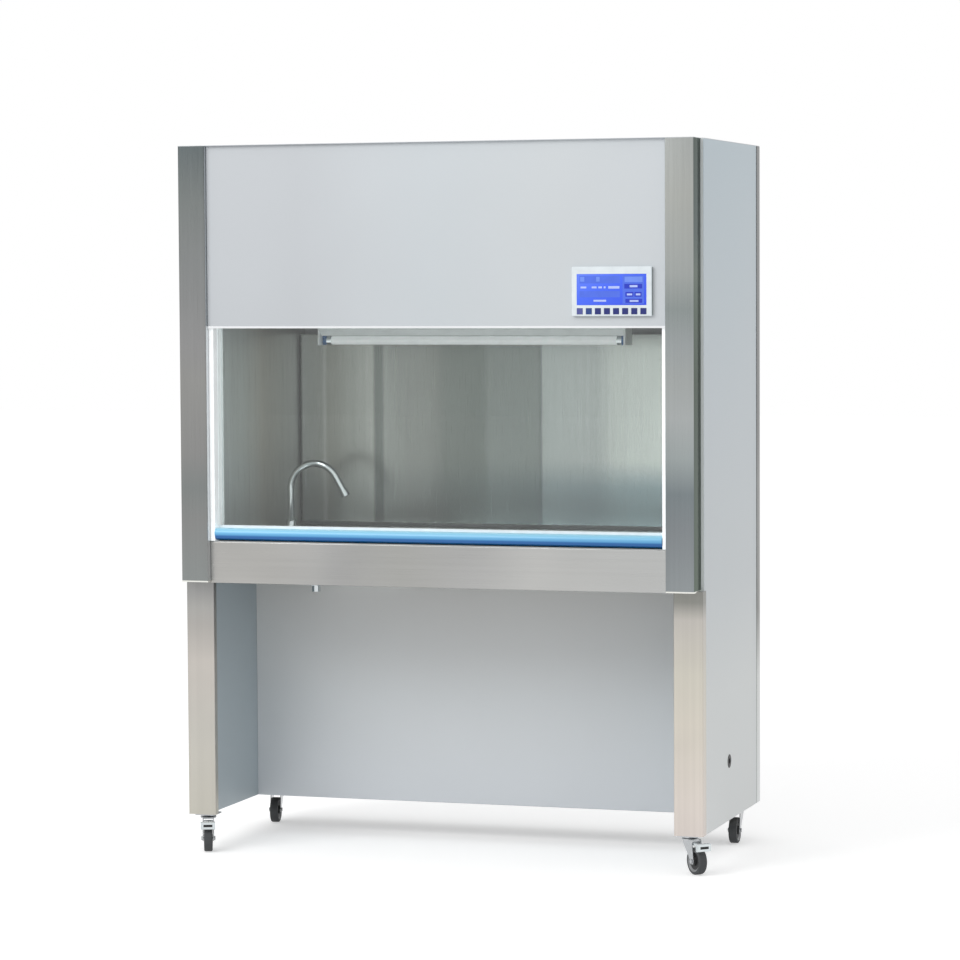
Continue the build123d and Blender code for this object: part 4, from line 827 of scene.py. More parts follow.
# Bands across the baffle are painted reflections, with a painted dark line of shade in its left corner.
BAFFLE_STEEL = Steel(
    "baffle_steel",
    (
        (0.0, shade(60, 66, 66)),
        (0.006, shade(60, 66, 66)),
        (0.008, shade(178, 183, 181)),
        (0.055, shade(174, 178, 175)),
        (0.063, shade(196, 200, 197)),
        (0.07, shade(168, 171, 166)),
        (0.18, shade(166, 168, 163)),
        (0.187, shade(112, 118, 114)),
        (0.203, shade(114, 120, 116)),
        (0.209, shade(150, 154, 150)),
        (0.24, shade(138, 142, 138)),
        (0.33, shade(126, 130, 126)),
        (0.36, shade(112, 118, 114)),
        (0.45, shade(110, 117, 113)),
        (0.46, shade(124, 131, 128)),
        (0.58, shade(124, 131, 128)),
        (0.584, shade(96, 102, 102)),
        (0.59, shade(158, 165, 163)),
        (0.715, shade(164, 170, 168)),
        (0.76, shade(186, 192, 188)),
        (1.0, shade(192, 198, 194)),
    ),
    (-0.65, 0.65),
    axis="X",
    roughness=0.24,
    clouds=0.08,
    cloud_stretch=(2.0, 1.0, 0.5),
    relief=0.03,
    # The baffle's foot takes a painted shade.
    foot=(1.02, 1.1),
)
CEILING_STEEL = Steel("ceiling_steel", evenly(shade(186, 190, 188)), way=Way.ACROSS)
ZINC_SHEET = Steel("zinc_sheet", evenly(shade(168, 172, 176)), way=Way.NONE, roughness=0.42, clouds=0.25)
CASTOR_ZINC = Steel(
    "castor_zinc_steel", evenly(shade(186, 188, 190)), way=Way.NONE, roughness=0.26, clouds=0.15
)
CHROME = Steel("chrome", evenly(shade(206, 212, 214)), way=Way.NONE, roughness=0.09, marks=0.04, clouds=0.05)
CAST_IRON = Steel(
    "cast_iron", evenly(shade(92, 92, 92)), way=Way.NONE, roughness=0.6, clouds=0.3, metallic=0.6
)
MOTOR_ENAMEL = Coat("motor_enamel", evenly(shade(96, 100, 106)), roughness=0.5, dust=0.4)
# The guides glow: painted light that keeps them white in the shaded opening.
GUIDE_PLASTIC = Moulding("guide_plastic", shade(246, 249, 250), roughness=0.35, dust=0.05, glow=0.32)
RAIL_PAINT = Moulding("rail_paint", shade(246, 249, 251), roughness=0.3, dust=0.05)
LAMP_ENAMEL = Moulding("lamp_enamel_white", shade(242, 245, 245), roughness=0.35)
HOLDER_PLASTIC = Moulding("holder_plastic", shade(24, 96, 150), roughness=0.4)
# The tube is off; its glow is painted light.
LAMP_TUBE_WHITE = Moulding(
    "lamp_tube_white", shade(250, 252, 252), roughness=0.12, relief=0.02, dust=0.0, coat=0.5, glow=0.12
)
BEZEL_PLASTIC = Moulding("bezel_plastic", shade(226, 234, 238), roughness=0.38, dust=0.05)
# A darker copy of the bezel plastic on its right and bottom sides: painted shade.
BEZEL_EDGE_SHADE = Moulding("bezel_edge_shade", shade(120, 132, 132), roughness=0.38, dust=0.05)
KEY_PLASTIC = Moulding("key_plastic", shade(18, 34, 112), roughness=0.42, dust=0.05)
FIRST_KEY_PLASTIC = Moulding("first_key_plastic", shade(78, 84, 150), roughness=0.42, dust=0.05)
SECOND_KEY_PLASTIC = Moulding("second_key_plastic", shade(30, 62, 130), roughness=0.42, dust=0.05)
NYLON = Moulding("nylon", shade(214, 212, 202), roughness=0.5)
GLAND_PLASTIC = Moulding("gland_plastic", shade(24, 25, 27), roughness=0.45)
TYRE_RUBBER = Moulding("tyre_rubber", shade(66, 68, 70), roughness=0.62, lump=500.0, relief=0.35, dust=0.3)
RIM_PLASTIC = Moulding("rim_plastic", shade(142, 144, 146), roughness=0.45, dust=0.2)
HUB_PLASTIC = Moulding("hub_plastic", shade(34, 35, 36), roughness=0.5, dust=0.2)
TREAD_RUBBER = Moulding("tread_rubber", shade(26, 26, 27), roughness=0.6)
SCREEN_PALE = Moulding("screen_pale", shade(78, 112, 232), roughness=0.25, dust=0.0)
SCREEN_BRIGHT = Moulding("screen_bright", shade(112, 146, 244), roughness=0.25, dust=0.0)
SCREEN_DARK = Moulding("screen_dark", shade(28, 54, 196), roughness=0.25, dust=0.0)
SCREEN_DASH = Moulding("screen_dash", shade(186, 202, 252), roughness=0.25, dust=0.0)
# Light along the top and dark below: painted highlight and shade round the handle bar.
SASH_BLUE = BandedGloss(
    "sash_blue",
    (
        (0.0, shade(52, 128, 176)),
        (0.12, shade(18, 92, 158)),
        (0.36, shade(14, 98, 168)),
        (0.46, shade(84, 160, 212)),
        (0.62, shade(112, 184, 228)),
        (0.84, shade(140, 208, 240)),
        (1.0, shade(176, 230, 250)),
    ),
    (0.898, 0.932),
)
PANE_GLASS = ClearGlass("pane_glass", (0.96, 0.985, 0.975))
SCREEN_BLUE = LitScreen(
    "screen_blue",
    ((0.0, shade(92, 124, 236)), (0.4, shade(62, 98, 230)), (1.0, shade(30, 66, 214))),
    (0.42, 1.56),
    (0.62, 1.65),
)


# Shapes worked out on grids


def quads(rows: int, columns: int, close_rows: bool = False, close_columns: bool = True) -> Array:
    """Number the corners of the four-sided faces of a grid of points, kept row by row.

    Args:
        rows: Number of rows of points.
        columns: Number of points in each row.
        close_rows: Whether the last row joins the first.
        close_columns: Whether each row's end joins its start.

    Returns:
        One row of four corner numbers for each face.
    """
    down = np.arange(rows if close_rows else rows - 1)
    across = np.arange(columns if close_columns else columns - 1)
    row, column = np.meshgrid(down, across, indexing="ij")
    below, beside = (row + 1) % rows, (column + 1) % columns
    here, under = row * columns, below * columns
    return np.stack([here + column, here + beside, under + beside, under + column], axis=-1).reshape(-1, 4)


def lathe(profile: Sequence[tuple[float, float]], turns: int = 64, ring: bool = False) -> tuple[Array, list]:
    """Turn a profile about Z: each point goes to (r cos t, r sin t, z) for t round the circle.

    Args:
        profile: Radius and height pairs.
        turns: Number of steps round the circle.
        ring: Whether the profile closes on itself, as a washer's does.

    Returns:
        Points and faces; ends that lie on the axis close into poles when doubles are merged.
    """
    radius, height = np.array(profile, float).T
    angle = np.linspace(0, 2 * np.pi, turns, endpoint=False)
    points = np.stack(
        [
            np.outer(radius, np.cos(angle)),
            np.outer(radius, np.sin(angle)),
            np.repeat(height[:, None], turns, axis=1),
        ],
        axis=-1,
    )
    return points.reshape(-1, 3), quads(len(profile), turns, close_rows=ring).tolist()


def block(low: Sequence[float], high: Sequence[float]) -> tuple[Array, list]:
    """Make a box: its eight corners take each mix of the low and high bounds."""
    corner = np.array(np.meshgrid([0, 1], [0, 1], [0, 1], indexing="ij")).reshape(3, -1).T
    points = np.where(corner == 0, np.array(low), np.array(high))
    faces = [[0, 1, 3, 2], [4, 6, 7, 5], [0, 4, 5, 1], [2, 3, 7, 6], [0, 2, 6, 4], [1, 5, 7, 3]]
    return points, faces


def sweep(section: Array, path: Array, across: Array) -> tuple[Array, list]:
    """Carry a closed section along a flat path.

    A section point (u, v) goes to path + u * across + v * (across x tangent), and each end is capped.

    Args:
        section: Points (u, v) of the closed section.
        path: Stations in space, all in one plane.
        across: Unit vector square to that plane.

    Returns:
        Points and faces.
    """
    tangent = np.gradient(path, axis=0)
    tangent /= np.linalg.norm(tangent, axis=1, keepdims=True)
    upward = np.cross(across, tangent)
    points = path[:, None] + section[None, :, :1] * across + section[None, :, 1:] * upward[:, None]
    rows, columns = points.shape[:2]
    faces = quads(rows, columns).tolist()
    faces += [list(range(columns)), list(range((rows - 1) * columns, rows * columns))]
    return points.reshape(-1, 3), faces


def circle(radius: float, sides: int = 32) -> Array:
    """Points of a circle: (r cos t, r sin t)."""
    angle = np.linspace(0, 2 * np.pi, sides, endpoint=False)
    return radius * np.stack([np.cos(angle), np.sin(angle)], axis=-1)


def stand(points: Array, origin: Sequence[float], axis: Sequence[float]) -> Array:
    """Turn points so that their Z lies along an axis, then move them to an origin.

    Args:
        points: Points about their own origin.
        origin: Where that origin goes.
        axis: Direction that Z takes.

    Returns:
        The moved points.
    """
    up = np.array(axis, float)
    up /= np.linalg.norm(up)
    helper = np.array([0.0, 0.0, 1.0]) if abs(up[2]) < 0.9 else np.array([0.0, 1.0, 0.0])
    right = np.cross(helper, up)
    right /= np.linalg.norm(right)
    turned = np.array(points) @ np.array([right, np.cross(up, right), up])
    return turned + np.array(origin, float)


def gather(parts: Iterable[tuple[Array, list]]) -> tuple[Array, list]:
    """Put several shapes into one: points are stacked and each face's numbers moved on."""
    points, faces, count = [], [], 0
    for part_points, part_faces in parts:
        points.append(np.asarray(part_points))
        faces += [[corner + count for corner in face] for face in part_faces]
        count += len(part_points)
    return np.concatenate(points), faces


def solid_mesh(
    name: str, points: Array, faces: Sequence[Sequence[int]], crease: float = 35.0
) -> bpy.types.Mesh:
    """Build a closed mesh with merged doubles, outward faces and smooth curved sides.

    Args:
        name: Name of the mesh.
        points: Its points.
        faces: Corner numbers of each face.
        crease: Angle in degrees past which an edge stays sharp.

    Returns:
        The mesh.
    """
    mesh = bpy.data.meshes.new(name)
    mesh.from_pydata([tuple(p) for p in np.asarray(points).tolist()], [], [list(f) for f in faces])
    form = bmesh.new()
    form.from_mesh(mesh)
    bmesh.ops.remove_doubles(form, verts=form.verts, dist=WELD)
    bmesh.ops.recalc_face_normals(form, faces=form.faces)
    form.to_mesh(mesh)
    form.free()
    mesh.shade_smooth()
    mesh.set_sharp_from_angle(angle=math.radians(crease))
    return mesh


# The loaded frame and the calls that dress it

Test = Callable[[Array, Array], Array]


@dataclass
class Shop:
    """The loaded frame, with calls that dress its nodes and add pieces to its bodies."""

    frame: dict
    count: int = 0
    body_of: dict[str, str] = field(default_factory=dict)
    slot_of: dict[str, str] = field(default_factory=dict)

    def __post_init__(self) -> None:
        """Read which body each node belongs to, and its material slot."""
        record = self.frame["record"]
        for body, nodes in record["behaviour"]["bodies"].items():
            self.body_of.update({node: body for node in nodes})
        self.slot_of.update({entry["node"]: entry["material_slot"] for entry in record["subparts"]})

    def box(self, node: str) -> tuple[Array, Array]:
        """Lowest and highest corner of a node."""
        low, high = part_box(node)
        return np.array(low), np.array(high)

    def centre(self, node: str) -> Array:
        """Middle of a node's box."""
        low, high = self.box(node)
        return (low + high) / 2

    def joint(self, name: str) -> tuple[Array, Array]:
        """Place and axis of a joint at rest."""
        entry = next(j for j in self.frame["joints"] if j["name"] == name)
        return np.array(entry["pos_m"]), np.array(entry["axis"])

    def paint(self, finish: object, *nodes: str) -> None:
        """Give nodes that stay as they are a finish."""
        for node in nodes:
            shape = self.frame["nodes"][node]
            if not shape.data.materials:
                shape.data.materials.append(None)
            for place in shape.material_slots:
                place.material = material_of(finish)
            LOG.info("painted %s with %s", node, finish.name)

    def add(
        self,
        name: str,
        shape: tuple[Array, list],
        finish: object,
        like: str,
        replaces: Sequence[str] = (),
        edge: float = 0.0,
        crease: float = 35.0,
    ) -> bpy.types.Object:
        """Add a piece to the body of a node.

        Args:
            name: Name of the piece.
            shape: Points and faces.
            finish: What it is made of.
            like: Node whose body and material slot it shares.
            replaces: Nodes that it stands for.
            edge: Width of its rounded edges.
            crease: Angle in degrees past which an edge stays sharp.

        Returns:
            The new object.
        """
        mesh = solid_mesh(name, *shape, crease=crease)
        mesh.materials.append(material_of(finish))
        return self.mount(name, mesh, like, replaces, edge)

    def mount(
        self, name: str, mesh: bpy.types.Mesh, like: str, replaces: Sequence[str], edge: float
    ) -> bpy.types.Object:
        """Link a mesh as a piece, soften its edges and let it ride on a node's body."""
        piece = bpy.data.objects.new(name, mesh)
        bpy.context.scene.collection.objects.link(piece)
        if edge:
            rounding = piece.modifiers.new("rounded_edges", "BEVEL")
            rounding.width = edge
            rounding.segments = 2
            rounding.limit_method = "ANGLE"
            rounding.angle_limit = math.radians(30)
            rounding.harden_normals = True
        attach(piece, self.body_of[like])
        if replaces:
            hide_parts(*replaces)
        self.count += 1
        LOG.info("piece %s on %s", name, self.body_of[like])
        return piece

    def skin(
        self,
        node: str,
        finish: object,
        edge: float = 0.4 * MM,
        others: Sequence[tuple[Test, object]] = (),
        cut: float | None = None,
    ) -> bpy.types.Object:
        """Stand in for a node with a welded copy of its surface that has softened edges.

        Args:
            node: Node to copy.
            finish: What it is made of.
            edge: Width of the rounded edges.
            others: Tests on face centres and normals, each with the finish of the faces that pass.
            cut: Height of a level line to score into the surface, so that a test can part the faces there.

        Returns:
            The new object.
        """
        source = self.frame["nodes"][node].data
        points = np.empty(len(source.vertices) * 3)
        source.vertices.foreach_get("co", points)
        source.calc_loop_triangles()
        corners = np.empty(len(source.loop_triangles) * 3, int)
        source.loop_triangles.foreach_get("vertices", corners)
        mesh = bpy.data.meshes.new(f"{node}_skin")
        mesh.from_pydata(points.reshape(-1, 3).tolist(), [], corners.reshape(-1, 3).tolist())
        form = bmesh.new()
        form.from_mesh(mesh)
        bmesh.ops.remove_doubles(form, verts=form.verts, dist=WELD)
        bmesh.ops.dissolve_limit(form, angle_limit=math.radians(0.5), verts=form.verts, edges=form.edges)
        if cut is not None:
            geometry = [*form.verts, *form.edges, *form.faces]
            bmesh.ops.bisect_plane(form, geom=geometry, plane_co=(0, 0, cut), plane_no=(0, 0, 1))
        form.to_mesh(mesh)
        form.free()
        mesh.shade_smooth()
        mesh.set_sharp_from_angle(angle=math.radians(30))
        mesh.materials.append(material_of(finish))
        if others:
            centres, normals = np.empty((2, len(mesh.polygons) * 3))
            mesh.polygons.foreach_get("center", centres)
            mesh.polygons.foreach_get("normal", normals)
            chosen = np.zeros(len(mesh.polygons), int)
            for number, (test, other) in enumerate(others, start=1):
                mesh.materials.append(material_of(other))
                chosen[test(centres.reshape(-1, 3), normals.reshape(-1, 3))] = number
            mesh.polygons.foreach_set("material_index", chosen)
        return self.mount(f"{node}_skin", mesh, node, [node], edge)


# Sub-assemblies


@dataclass
class SheetBody:
    """Folded outer sheets: columns, posts, side panels, fascia, apron, roof and back.

    A face whose normal has more than side_on along an axis counts as facing that way.
    """

    shop: Shop
    fold: float = 0.5 * MM
    side_on: float = 0.9
    hem_rise: float = 7 * MM
    lip_rise: float = 4 * MM

    def build(self) -> None:
        """Dress every sheet."""
        for hand in Hand:
            self._column(hand)
            name = hand.value[0]
            post = LEFT_POST_STEEL if hand is Hand.LEFT else RIGHT_POST_STEEL
            # The side panels' front edge faces get a painted highlight.
            edges = [(lambda middle, normal: normal[:, 1] < -self.side_on, PANEL_EDGE_HIGHLIGHT)]
            self.shop.skin(f"{name}_side_panel", SIDE_PAINT, self.fold, edges)
            self.shop.skin(f"{name}_lower_post", post, self.fold)
            self.shop.skin(f"{name}_leg_liner", LEG_PAINT, self.fold)
        self.shop.skin("rear_corner_strips", STRIP_STEEL, self.fold)
        hem_top = self.shop.box("fascia")[0][2] + self.hem_rise
        self.shop.skin(
            "fascia", FASCIA_PAINT, self.fold, [(lambda middle, normal: middle[:, 2] < hem_top, HEM_STEEL)]
        )
        self.shop.skin("worktop_apron", APRON_STEEL, self.fold)
        self.shop.skin("knee_back_panel", KNEE_PAINT, self.fold)
        self.shop.skin("rear_panel", BACK_PAINT, self.fold)
        self.shop.skin("roof_panel", BACK_PAINT, self.fold)
        self.shop.skin("base_frame", FRAME_PAINT, self.fold)

    def _column(self, hand: Hand) -> None:
        """Dress a column: its outer side takes a painted dark reflection of the room, its inner return a
        painted reflection of the white guide, and its lower edge a painted highlight.
        """
        name, sign = hand.value
        steel = LEFT_COLUMN_STEEL if hand is Hand.LEFT else RIGHT_COLUMN_STEEL
        limit = self.side_on
        lip_top = self.shop.box(f"{name}_upper_column")[0][2] + self.lip_rise
        # Faces by direction and height take painted reflections and a painted highlight.
        tests = [
            (lambda middle, normal: normal[:, 0] * sign > limit, DARK_REFLECTION_STEEL),
            (lambda middle, normal: normal[:, 0] * sign < -limit, GUIDE_REFLECTION_STEEL),
            (lambda middle, normal: middle[:, 2] < lip_top, LIP_HIGHLIGHT_STEEL),
        ]
        self.shop.skin(f"{name}_upper_column", steel, self.fold, tests, cut=lip_top)


@dataclass
class Chamber:
    """Stainless lining of the work space, with its worktop, baffle and ceiling."""

    shop: Shop
    fold: float = 0.4 * MM

    def build(self) -> None:
        """Dress the lining."""
        for hand in Hand:
            self.shop.skin(f"{hand.value[0]}_chamber_liner", LINER_STEEL, self.fold)
        self.shop.skin("rear_baffle", BAFFLE_STEEL, 0.2 * MM)
        self.shop.skin("chamber_ceiling", CEILING_STEEL, self.fold)
        self.shop.skin("worktop", WORKTOP_STEEL, self.fold)


@dataclass
class Sash:
    """Glass sash with its rails, guides and blue handle bar."""

    shop: Shop
    fold: float = 0.5 * MM

    def build(self) -> None:
        """Dress the sash."""
        self.shop.skin("sash_guides", GUIDE_PLASTIC, 0.6 * MM)
        self.shop.skin("sash_rails", RAIL_PAINT, self.fold)
        self.shop.skin("sash_glass", PANE_GLASS, 0.3 * MM)
        self.shop.skin("sash_handle", SASH_BLUE, 0.8 * MM)


Field = tuple[float, float, float, float]


@dataclass
class ControlPanel:
    """Bezel with a lit display that shows generic fields and dashes, and eight square keys.

    A field gives its left, right, top and bottom as shares of the display's width and height.
    """

    shop: Shop
    relief: float = 0.12 * MM
    edge_reach: float = 2 * MM
    pale_fields: tuple[Field, ...] = (
        (0.04, 0.62, 0.06, 0.30),
        (0.04, 0.62, 0.55, 0.75),
        (0.66, 0.965, 0.06, 0.96),
    )
    bright_fields: tuple[Field, ...] = (
        (0.69, 0.945, 0.09, 0.26),
        (0.05, 0.11, 0.09, 0.24),
        (0.28, 0.33, 0.09, 0.24),
    )
    dark_fields: tuple[Field, ...] = (
        (0.685, 0.94, 0.32, 0.47),
        (0.70, 0.815, 0.58, 0.735),
        (0.83, 0.93, 0.58, 0.735),
        (0.70, 0.94, 0.80, 0.93),
    )
    dashes: tuple[Field, ...] = (
        (0.056, 0.139, 0.40, 0.46),
        (0.216, 0.286, 0.40, 0.46),
        (0.312, 0.364, 0.40, 0.46),
        (0.390, 0.416, 0.40, 0.46),
        (0.455, 0.615, 0.39, 0.47),
        (0.242, 0.424, 0.83, 0.89),
        (0.762, 0.874, 0.36, 0.43),
        (0.722, 0.797, 0.63, 0.69),
        (0.850, 0.915, 0.63, 0.69),
        (0.762, 0.887, 0.84, 0.90),
    )

    def build(self) -> None:
        """Dress the bezel, the display and the keys."""
        low, high = self.shop.box("panel_bezel")
        right, foot = high[0] - self.edge_reach, low[2] + self.edge_reach
        # The bezel's right and bottom side faces take a painted shade.
        edges = [
            (lambda middle, normal: (normal[:, 0] > 0.9) & (middle[:, 0] > right), BEZEL_EDGE_SHADE),
            (lambda middle, normal: (normal[:, 2] < -0.9) & (middle[:, 2] < foot), BEZEL_EDGE_SHADE),
        ]
        self.shop.skin("panel_bezel", BEZEL_PLASTIC, 0.8 * MM, edges)
        self.shop.skin("display_module", SCREEN_BLUE, 0.2 * MM)
        layers = (
            ("pale_fields", self.pale_fields, SCREEN_PALE),
            ("bright_fields", self.bright_fields, SCREEN_BRIGHT),
            ("dark_fields", self.dark_fields, SCREEN_DARK),
            ("dashes", self.dashes, SCREEN_DASH),
        )
        for level, (name, fields, finish) in enumerate(layers, start=1):
            self.shop.add(f"display_{name}", self._plates(fields, level), finish, "display_module")
        for number in range(1, 9):
            finish = {1: FIRST_KEY_PLASTIC, 2: SECOND_KEY_PLASTIC}.get(number, KEY_PLASTIC)
            self.shop.skin(f"key_{number}", finish, 0.5 * MM)

    def _plates(self, fields: Sequence[Field], level: int) -> tuple[Array, list]:
        """Thin plates on the display's face: u and v run over the window's width and height.

        Args:
            fields: Where each plate lies.
            level: How many layers it stands proud.

        Returns:
            Points and faces.
        """
        face = self.shop.box("display_module")[0][1]
        left, right = self.window[0] - self.window[2] / 2, self.window[0] + self.window[2] / 2
        foot, head = self.window[1] - self.window[3] / 2, self.window[1] + self.window[3] / 2
        parts = []
        for start, end, top, bottom in fields:
            low = (left + start * (right - left), face - level * self.relief, head - bottom * (head - foot))
            high = (left + end * (right - left), face + self.relief, head - top * (head - foot))
            parts.append(block(low, high))
        return gather(parts)

    @property
    def window(self) -> tuple[float, float, float, float]:
        """Centre and size of the display's window, read from its foremost vertices."""
        data = self.shop.frame["nodes"]["display_module"].data
        points = np.empty(len(data.vertices) * 3)
        data.vertices.foreach_get("co", points)
        points = points.reshape(-1, 3)
        ahead = points[points[:, 1] < points[:, 1].min() + 1 * MM]
        low, high = ahead.min(axis=0), ahead.max(axis=0)
        return (low[0] + high[0]) / 2, (low[2] + high[2]) / 2, high[0] - low[0], high[2] - low[2]


@dataclass
class SinkAndFaucet:
    """Sink bowl with its drain, and the gooseneck faucet on its base."""

    shop: Shop
    fold: float = 0.4 * MM

    def build(self) -> None:
        """Dress the sink and the faucet."""
        self.shop.skin("sink_basin", SINK_STEEL, self.fold)
        for node in ("drain_tail", "faucet_base", "faucet_spout"):
            self.shop.skin(node, CHROME, self.fold)


@dataclass
class Lamp:
    """Batten lamp under the ceiling: enamelled housing, blue end holders and a white tube."""

    shop: Shop
    cap_length: float = 14 * MM
    cap_gap: float = 0.25 * MM

    def build(self) -> None:
        """Dress the lamp and put metal caps on the tube."""
        self.shop.skin("lamp_housing", LAMP_ENAMEL, 0.6 * MM)
        self.shop.skin("lamp_holders", HOLDER_PLASTIC, 1.2 * MM)
        self.shop.skin("lamp_tube", LAMP_TUBE_WHITE, 0.5 * MM)
        low, high = self.shop.box("lamp_tube")
        radius = (high[2] - low[2]) / 2
        middle = (low + high) / 2
        for hand in Hand:
            name, sign = hand.value
            end = middle.copy()
            end[0] = low[0] if sign < 0 else high[0]
            ring = lathe(
                [
                    (radius - 1 * MM, 0),
                    (radius + self.cap_gap, 0),
                    (radius + self.cap_gap, self.cap_length),
                    (radius - 1 * MM, self.cap_length),
                ],
                48,
                ring=True,
            )
            shape = stand(ring[0], end, (-sign, 0, 0)), ring[1]
            self.shop.add(f"lamp_{name}_cap", shape, CHROME, "lamp_tube")


@dataclass
class Castor:
    """Swivel castor: rubber tyre, pale ring and dark hub on an axle bolt, in a pressed fork."""

    shop: Shop
    corner: str
    radius: float = 37.5 * MM
    half_width: float = 12 * MM
    shoulder: float = 3 * MM
    tyre_depth: float = 8 * MM
    ring_depth: float = 5.5 * MM
    recess: float = 4 * MM
    hub_radius: float = 13 * MM
    hub_half: float = 12.75 * MM
    bore: float = 4.1 * MM
    tread_half: float = 12.8 * MM
    tread_span: tuple[float, float] = (63.2 * MM, 66.6 * MM)
    tread_heights: tuple[float, float] = (-6.3 * MM, 0.3 * MM)

    def build(self) -> None:
        """Build the wheel in three materials and dress the fork and the pedal."""
        node = f"{self.corner}_wheel"
        centre, axis = self.shop.joint(f"{self.corner}_wheel_spin")
        rim, ring_in = self.radius - self.tyre_depth, self.radius - self.tyre_depth - self.ring_depth
        half, web = self.half_width, self.half_width - self.recess
        crown = [
            (
                self.radius - self.shoulder * (1 - math.cos(a)) - 0.25 * MM,
                half - self.shoulder * (1 - math.sin(a)),
            )
            for a in np.linspace(0, math.pi / 2, 5)
        ]
        tyre = [(rim, -half)] + [(r, -z) for r, z in reversed(crown)] + crown + [(rim, half)]
        pieces = (
            ("tyre", tyre, TYRE_RUBBER, [node]),
            (
                "ring",
                [
                    (rim + 0.1 * MM, -half),
                    (rim + 0.1 * MM, half),
                    (rim, half),
                    (ring_in, web),
                    (ring_in, -web),
                    (rim, -half),
                ],
                RIM_PLASTIC,
                [],
            ),
            (
                "hub",
                [
                    (ring_in + 0.1 * MM, -web),
                    (ring_in + 0.1 * MM, web),
                    (self.hub_radius, web),
                    (self.hub_radius - 0.6 * MM, self.hub_half),
                    (self.bore, self.hub_half),
                    (self.bore, -self.hub_half),
                    (self.hub_radius - 0.6 * MM, -self.hub_half),
                    (self.hub_radius, -web),
                ],
                HUB_PLASTIC,
                [],
            ),
        )
        for name, profile, finish, stands_for in pieces:
            points, faces = lathe(profile, 72, ring=True)
            shape = stand(points, centre, axis), faces
            self.shop.add(f"{node}_{name}", shape, finish, node, stands_for)
        self.shop.skin(f"{self.corner}_fork", CASTOR_ZINC, 0.5 * MM)
        if self.corner.startswith("front"):
            self.shop.skin(f"{self.corner}_brake_pedal", CHROME, 0.5 * MM)
            self._tread()

    def _tread(self) -> None:
        """Set a dark rubber tread in the slot of the pedal's toe; places are from the pedal's pivot."""
        node = f"{self.corner}_brake_pedal"
        pivot, axis = self.shop.joint(f"{self.corner}_brake_press")
        ahead = np.array([axis[1], -axis[0], 0.0])
        half, (back, face), (foot, head) = self.tread_half, self.tread_span, self.tread_heights
        points, faces = block((-half, back, foot), (half, face, head))
        places = pivot + points[:, :1] * axis + points[:, 1:2] * ahead + points[:, 2:] * np.array([0, 0, 1.0])
        self.shop.add(f"{node}_tread", (places, faces), TREAD_RUBBER, node, edge=0.4 * MM)


@dataclass
class Innards:
    """Working parts behind the sheets, and the gland on the right side."""

    shop: Shop

    def build(self) -> None:
        """Paint the parts whose shapes stay as they are, and dress the ones that show."""
        self.shop.paint(ZINC_SHEET, "pulley_brackets", "blower_housing", "blower_impeller")
        self.shop.paint(MOTOR_ENAMEL, "blower_motor")
        self.shop.paint(NYLON, "left_pulley", "right_pulley")
        self.shop.paint(CAST_IRON, "counterweights")
        self.shop.skin("cable_gland", GLAND_PLASTIC, 0.4 * MM)
        self.shop.skin("castor_plates", CASTOR_ZINC, 0.5 * MM)


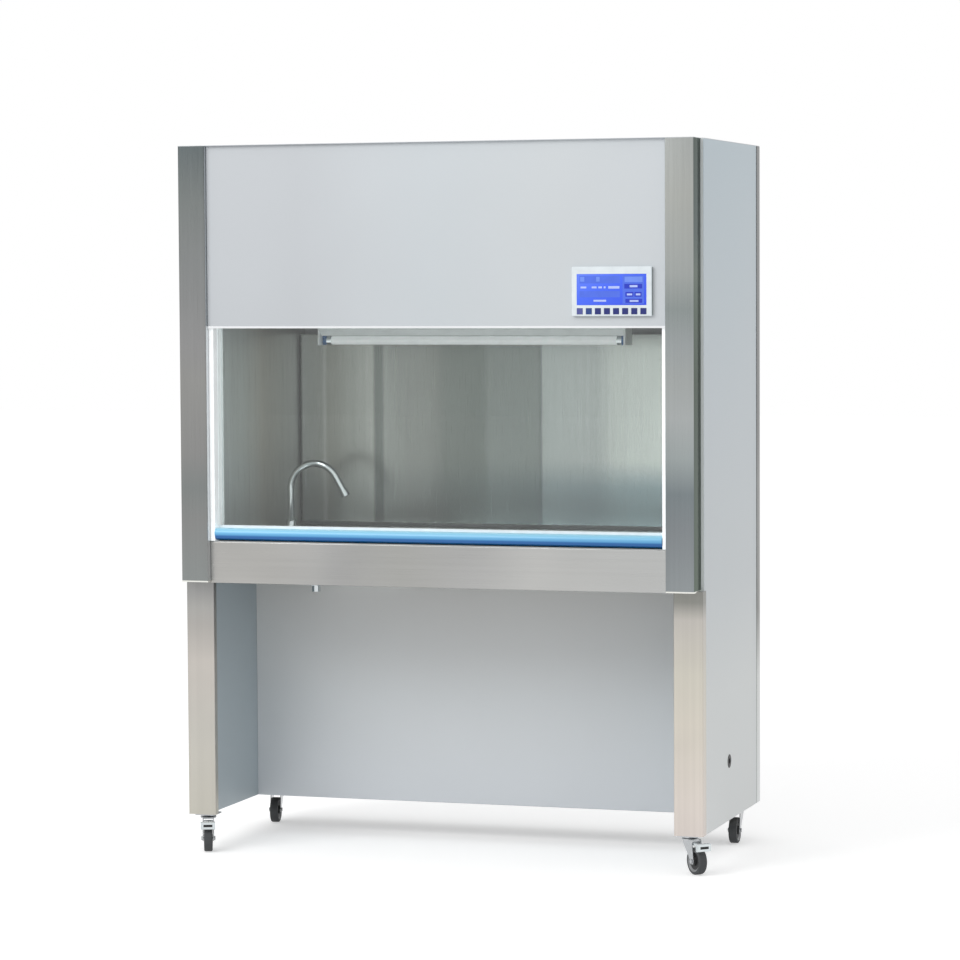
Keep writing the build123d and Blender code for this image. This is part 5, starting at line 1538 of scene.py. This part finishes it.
@dataclass
class Studio:
    """Pale floor, soft light and a camera where the photograph was taken from."""

    place: tuple[float, float, float] = (3.0577, -9.4501, 1.6398)
    yaw: float = 17.803
    dip: float = 3.357
    roll: float = -0.3106
    lens: float = 129.75
    sensor: float = 36.0
    floor_half: float = 30.0
    floor_glow: float = 0.41
    world_light: float = 0.75

    def build(self) -> None:
        """Set up the view, the world, the floor, the lamp and the camera."""
        bpy.context.scene.view_settings.view_transform = "Standard"
        self._world()
        self._floor()
        self._lamp()
        self._camera()

    def _world(self) -> None:
        """White to the camera and in reflections, a plain grey light elsewhere."""
        world = bpy.data.worlds.new("studio_world")
        bpy.context.scene.world = world
        world.use_nodes = True
        board = Board(world.node_tree)
        seen = self._seen(board)
        strength = board.span(seen, 0.0, 1.0, self.world_light, 1.0)
        background = world.node_tree.nodes["Background"]
        background.inputs["Color"].default_value = (1, 1, 1, 1)
        board.tree.links.new(strength, background.inputs["Strength"])

    def _seen(self, board: Board) -> bpy.types.NodeSocket:
        """One where a ray comes from the camera, a reflection or through glass."""
        rays = board.put("ShaderNodeLightPath")
        direct = board.sum("MAXIMUM", rays.outputs["Is Camera Ray"], rays.outputs["Is Glossy Ray"])
        return board.sum("MAXIMUM", direct, rays.outputs["Is Transmission Ray"])

    def _floor(self) -> None:
        """A pale floor that keeps a soft shadow."""
        half = self.floor_half
        mesh = bpy.data.meshes.new("studio_floor")
        corners = [(-half, -half, 0), (half, -half, 0), (half, half, 0), (-half, half, 0)]
        mesh.from_pydata(corners, [], [(0, 1, 2, 3)])
        material = bpy.data.materials.new("studio_floor")
        material.use_nodes = True
        board = Board(material.node_tree)
        principled = material.node_tree.nodes["Principled BSDF"]
        strength = board.sum("MULTIPLY", self._seen(board), self.floor_glow)
        join(
            board,
            principled,
            {
                "Base Color": shade(232, 232, 232),
                "Roughness": 0.9,
                "Specular IOR Level": 0.0,
                "Emission Color": (1.0, 1.0, 1.0),
                "Emission Strength": strength,
            },
        )
        mesh.materials.append(material)
        floor = bpy.data.objects.new("studio_floor", mesh)
        bpy.context.scene.collection.objects.link(floor)

    def _lamp(self) -> None:
        """A broad soft lamp from the front, the left and above."""
        light = bpy.data.lights.new("soft_lamp", "AREA")
        light.shape = "RECTANGLE"
        light.size, light.size_y = 3.0, 2.2
        light.energy = 90
        lamp = bpy.data.objects.new("soft_lamp", light)
        bpy.context.scene.collection.objects.link(lamp)
        place = np.array((-2.2, -3.4, 3.6))
        lamp.matrix_world = self._facing(place, np.array((0.0, 0.0, 1.1)) - place, 0.0)

    def _facing(self, place: Array, forward: Array, roll: float) -> mathutils.Matrix:
        """Matrix of a lamp or camera at a place, looking forward, with its roll in degrees."""
        ahead = np.array(forward, float)
        ahead /= np.linalg.norm(ahead)
        right = np.cross(ahead, (0, 0, 1))
        right /= np.linalg.norm(right)
        up = np.cross(right, ahead)
        turn = math.radians(roll)
        right_rolled = math.cos(turn) * right + math.sin(turn) * up
        up_rolled = -math.sin(turn) * right + math.cos(turn) * up
        columns = np.eye(4)
        columns[:3] = np.stack([right_rolled, up_rolled, -ahead, place], axis=-1)
        return mathutils.Matrix(columns.tolist())

    def _camera(self) -> None:
        """The photograph's viewpoint, with no shift."""
        data = bpy.data.cameras.new("photo_camera")
        data.lens, data.sensor_width = self.lens, self.sensor
        camera = bpy.data.objects.new("photo_camera", data)
        bpy.context.scene.collection.objects.link(camera)
        yaw, dip = math.radians(self.yaw), math.radians(self.dip)
        ahead = (-math.sin(yaw) * math.cos(dip), math.cos(yaw) * math.cos(dip), -math.sin(dip))
        camera.matrix_world = self._facing(np.array(self.place), np.array(ahead), self.roll)
        bpy.context.scene.camera = camera


def main() -> None:
    """Load the frame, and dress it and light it."""
    logging.basicConfig(level=logging.INFO, format="%(message)s")
    shop = Shop(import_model())
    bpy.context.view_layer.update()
    SheetBody(shop).build()
    Chamber(shop).build()
    Sash(shop).build()
    ControlPanel(shop).build()
    SinkAndFaucet(shop).build()
    Lamp(shop).build()
    for corner in ("front_left", "front_right", "rear_left", "rear_right"):
        Castor(shop, corner).build()
    Innards(shop).build()
    Studio().build()
    LOG.info("%d pieces", shop.count)


if __name__ == "__main__":
    main()
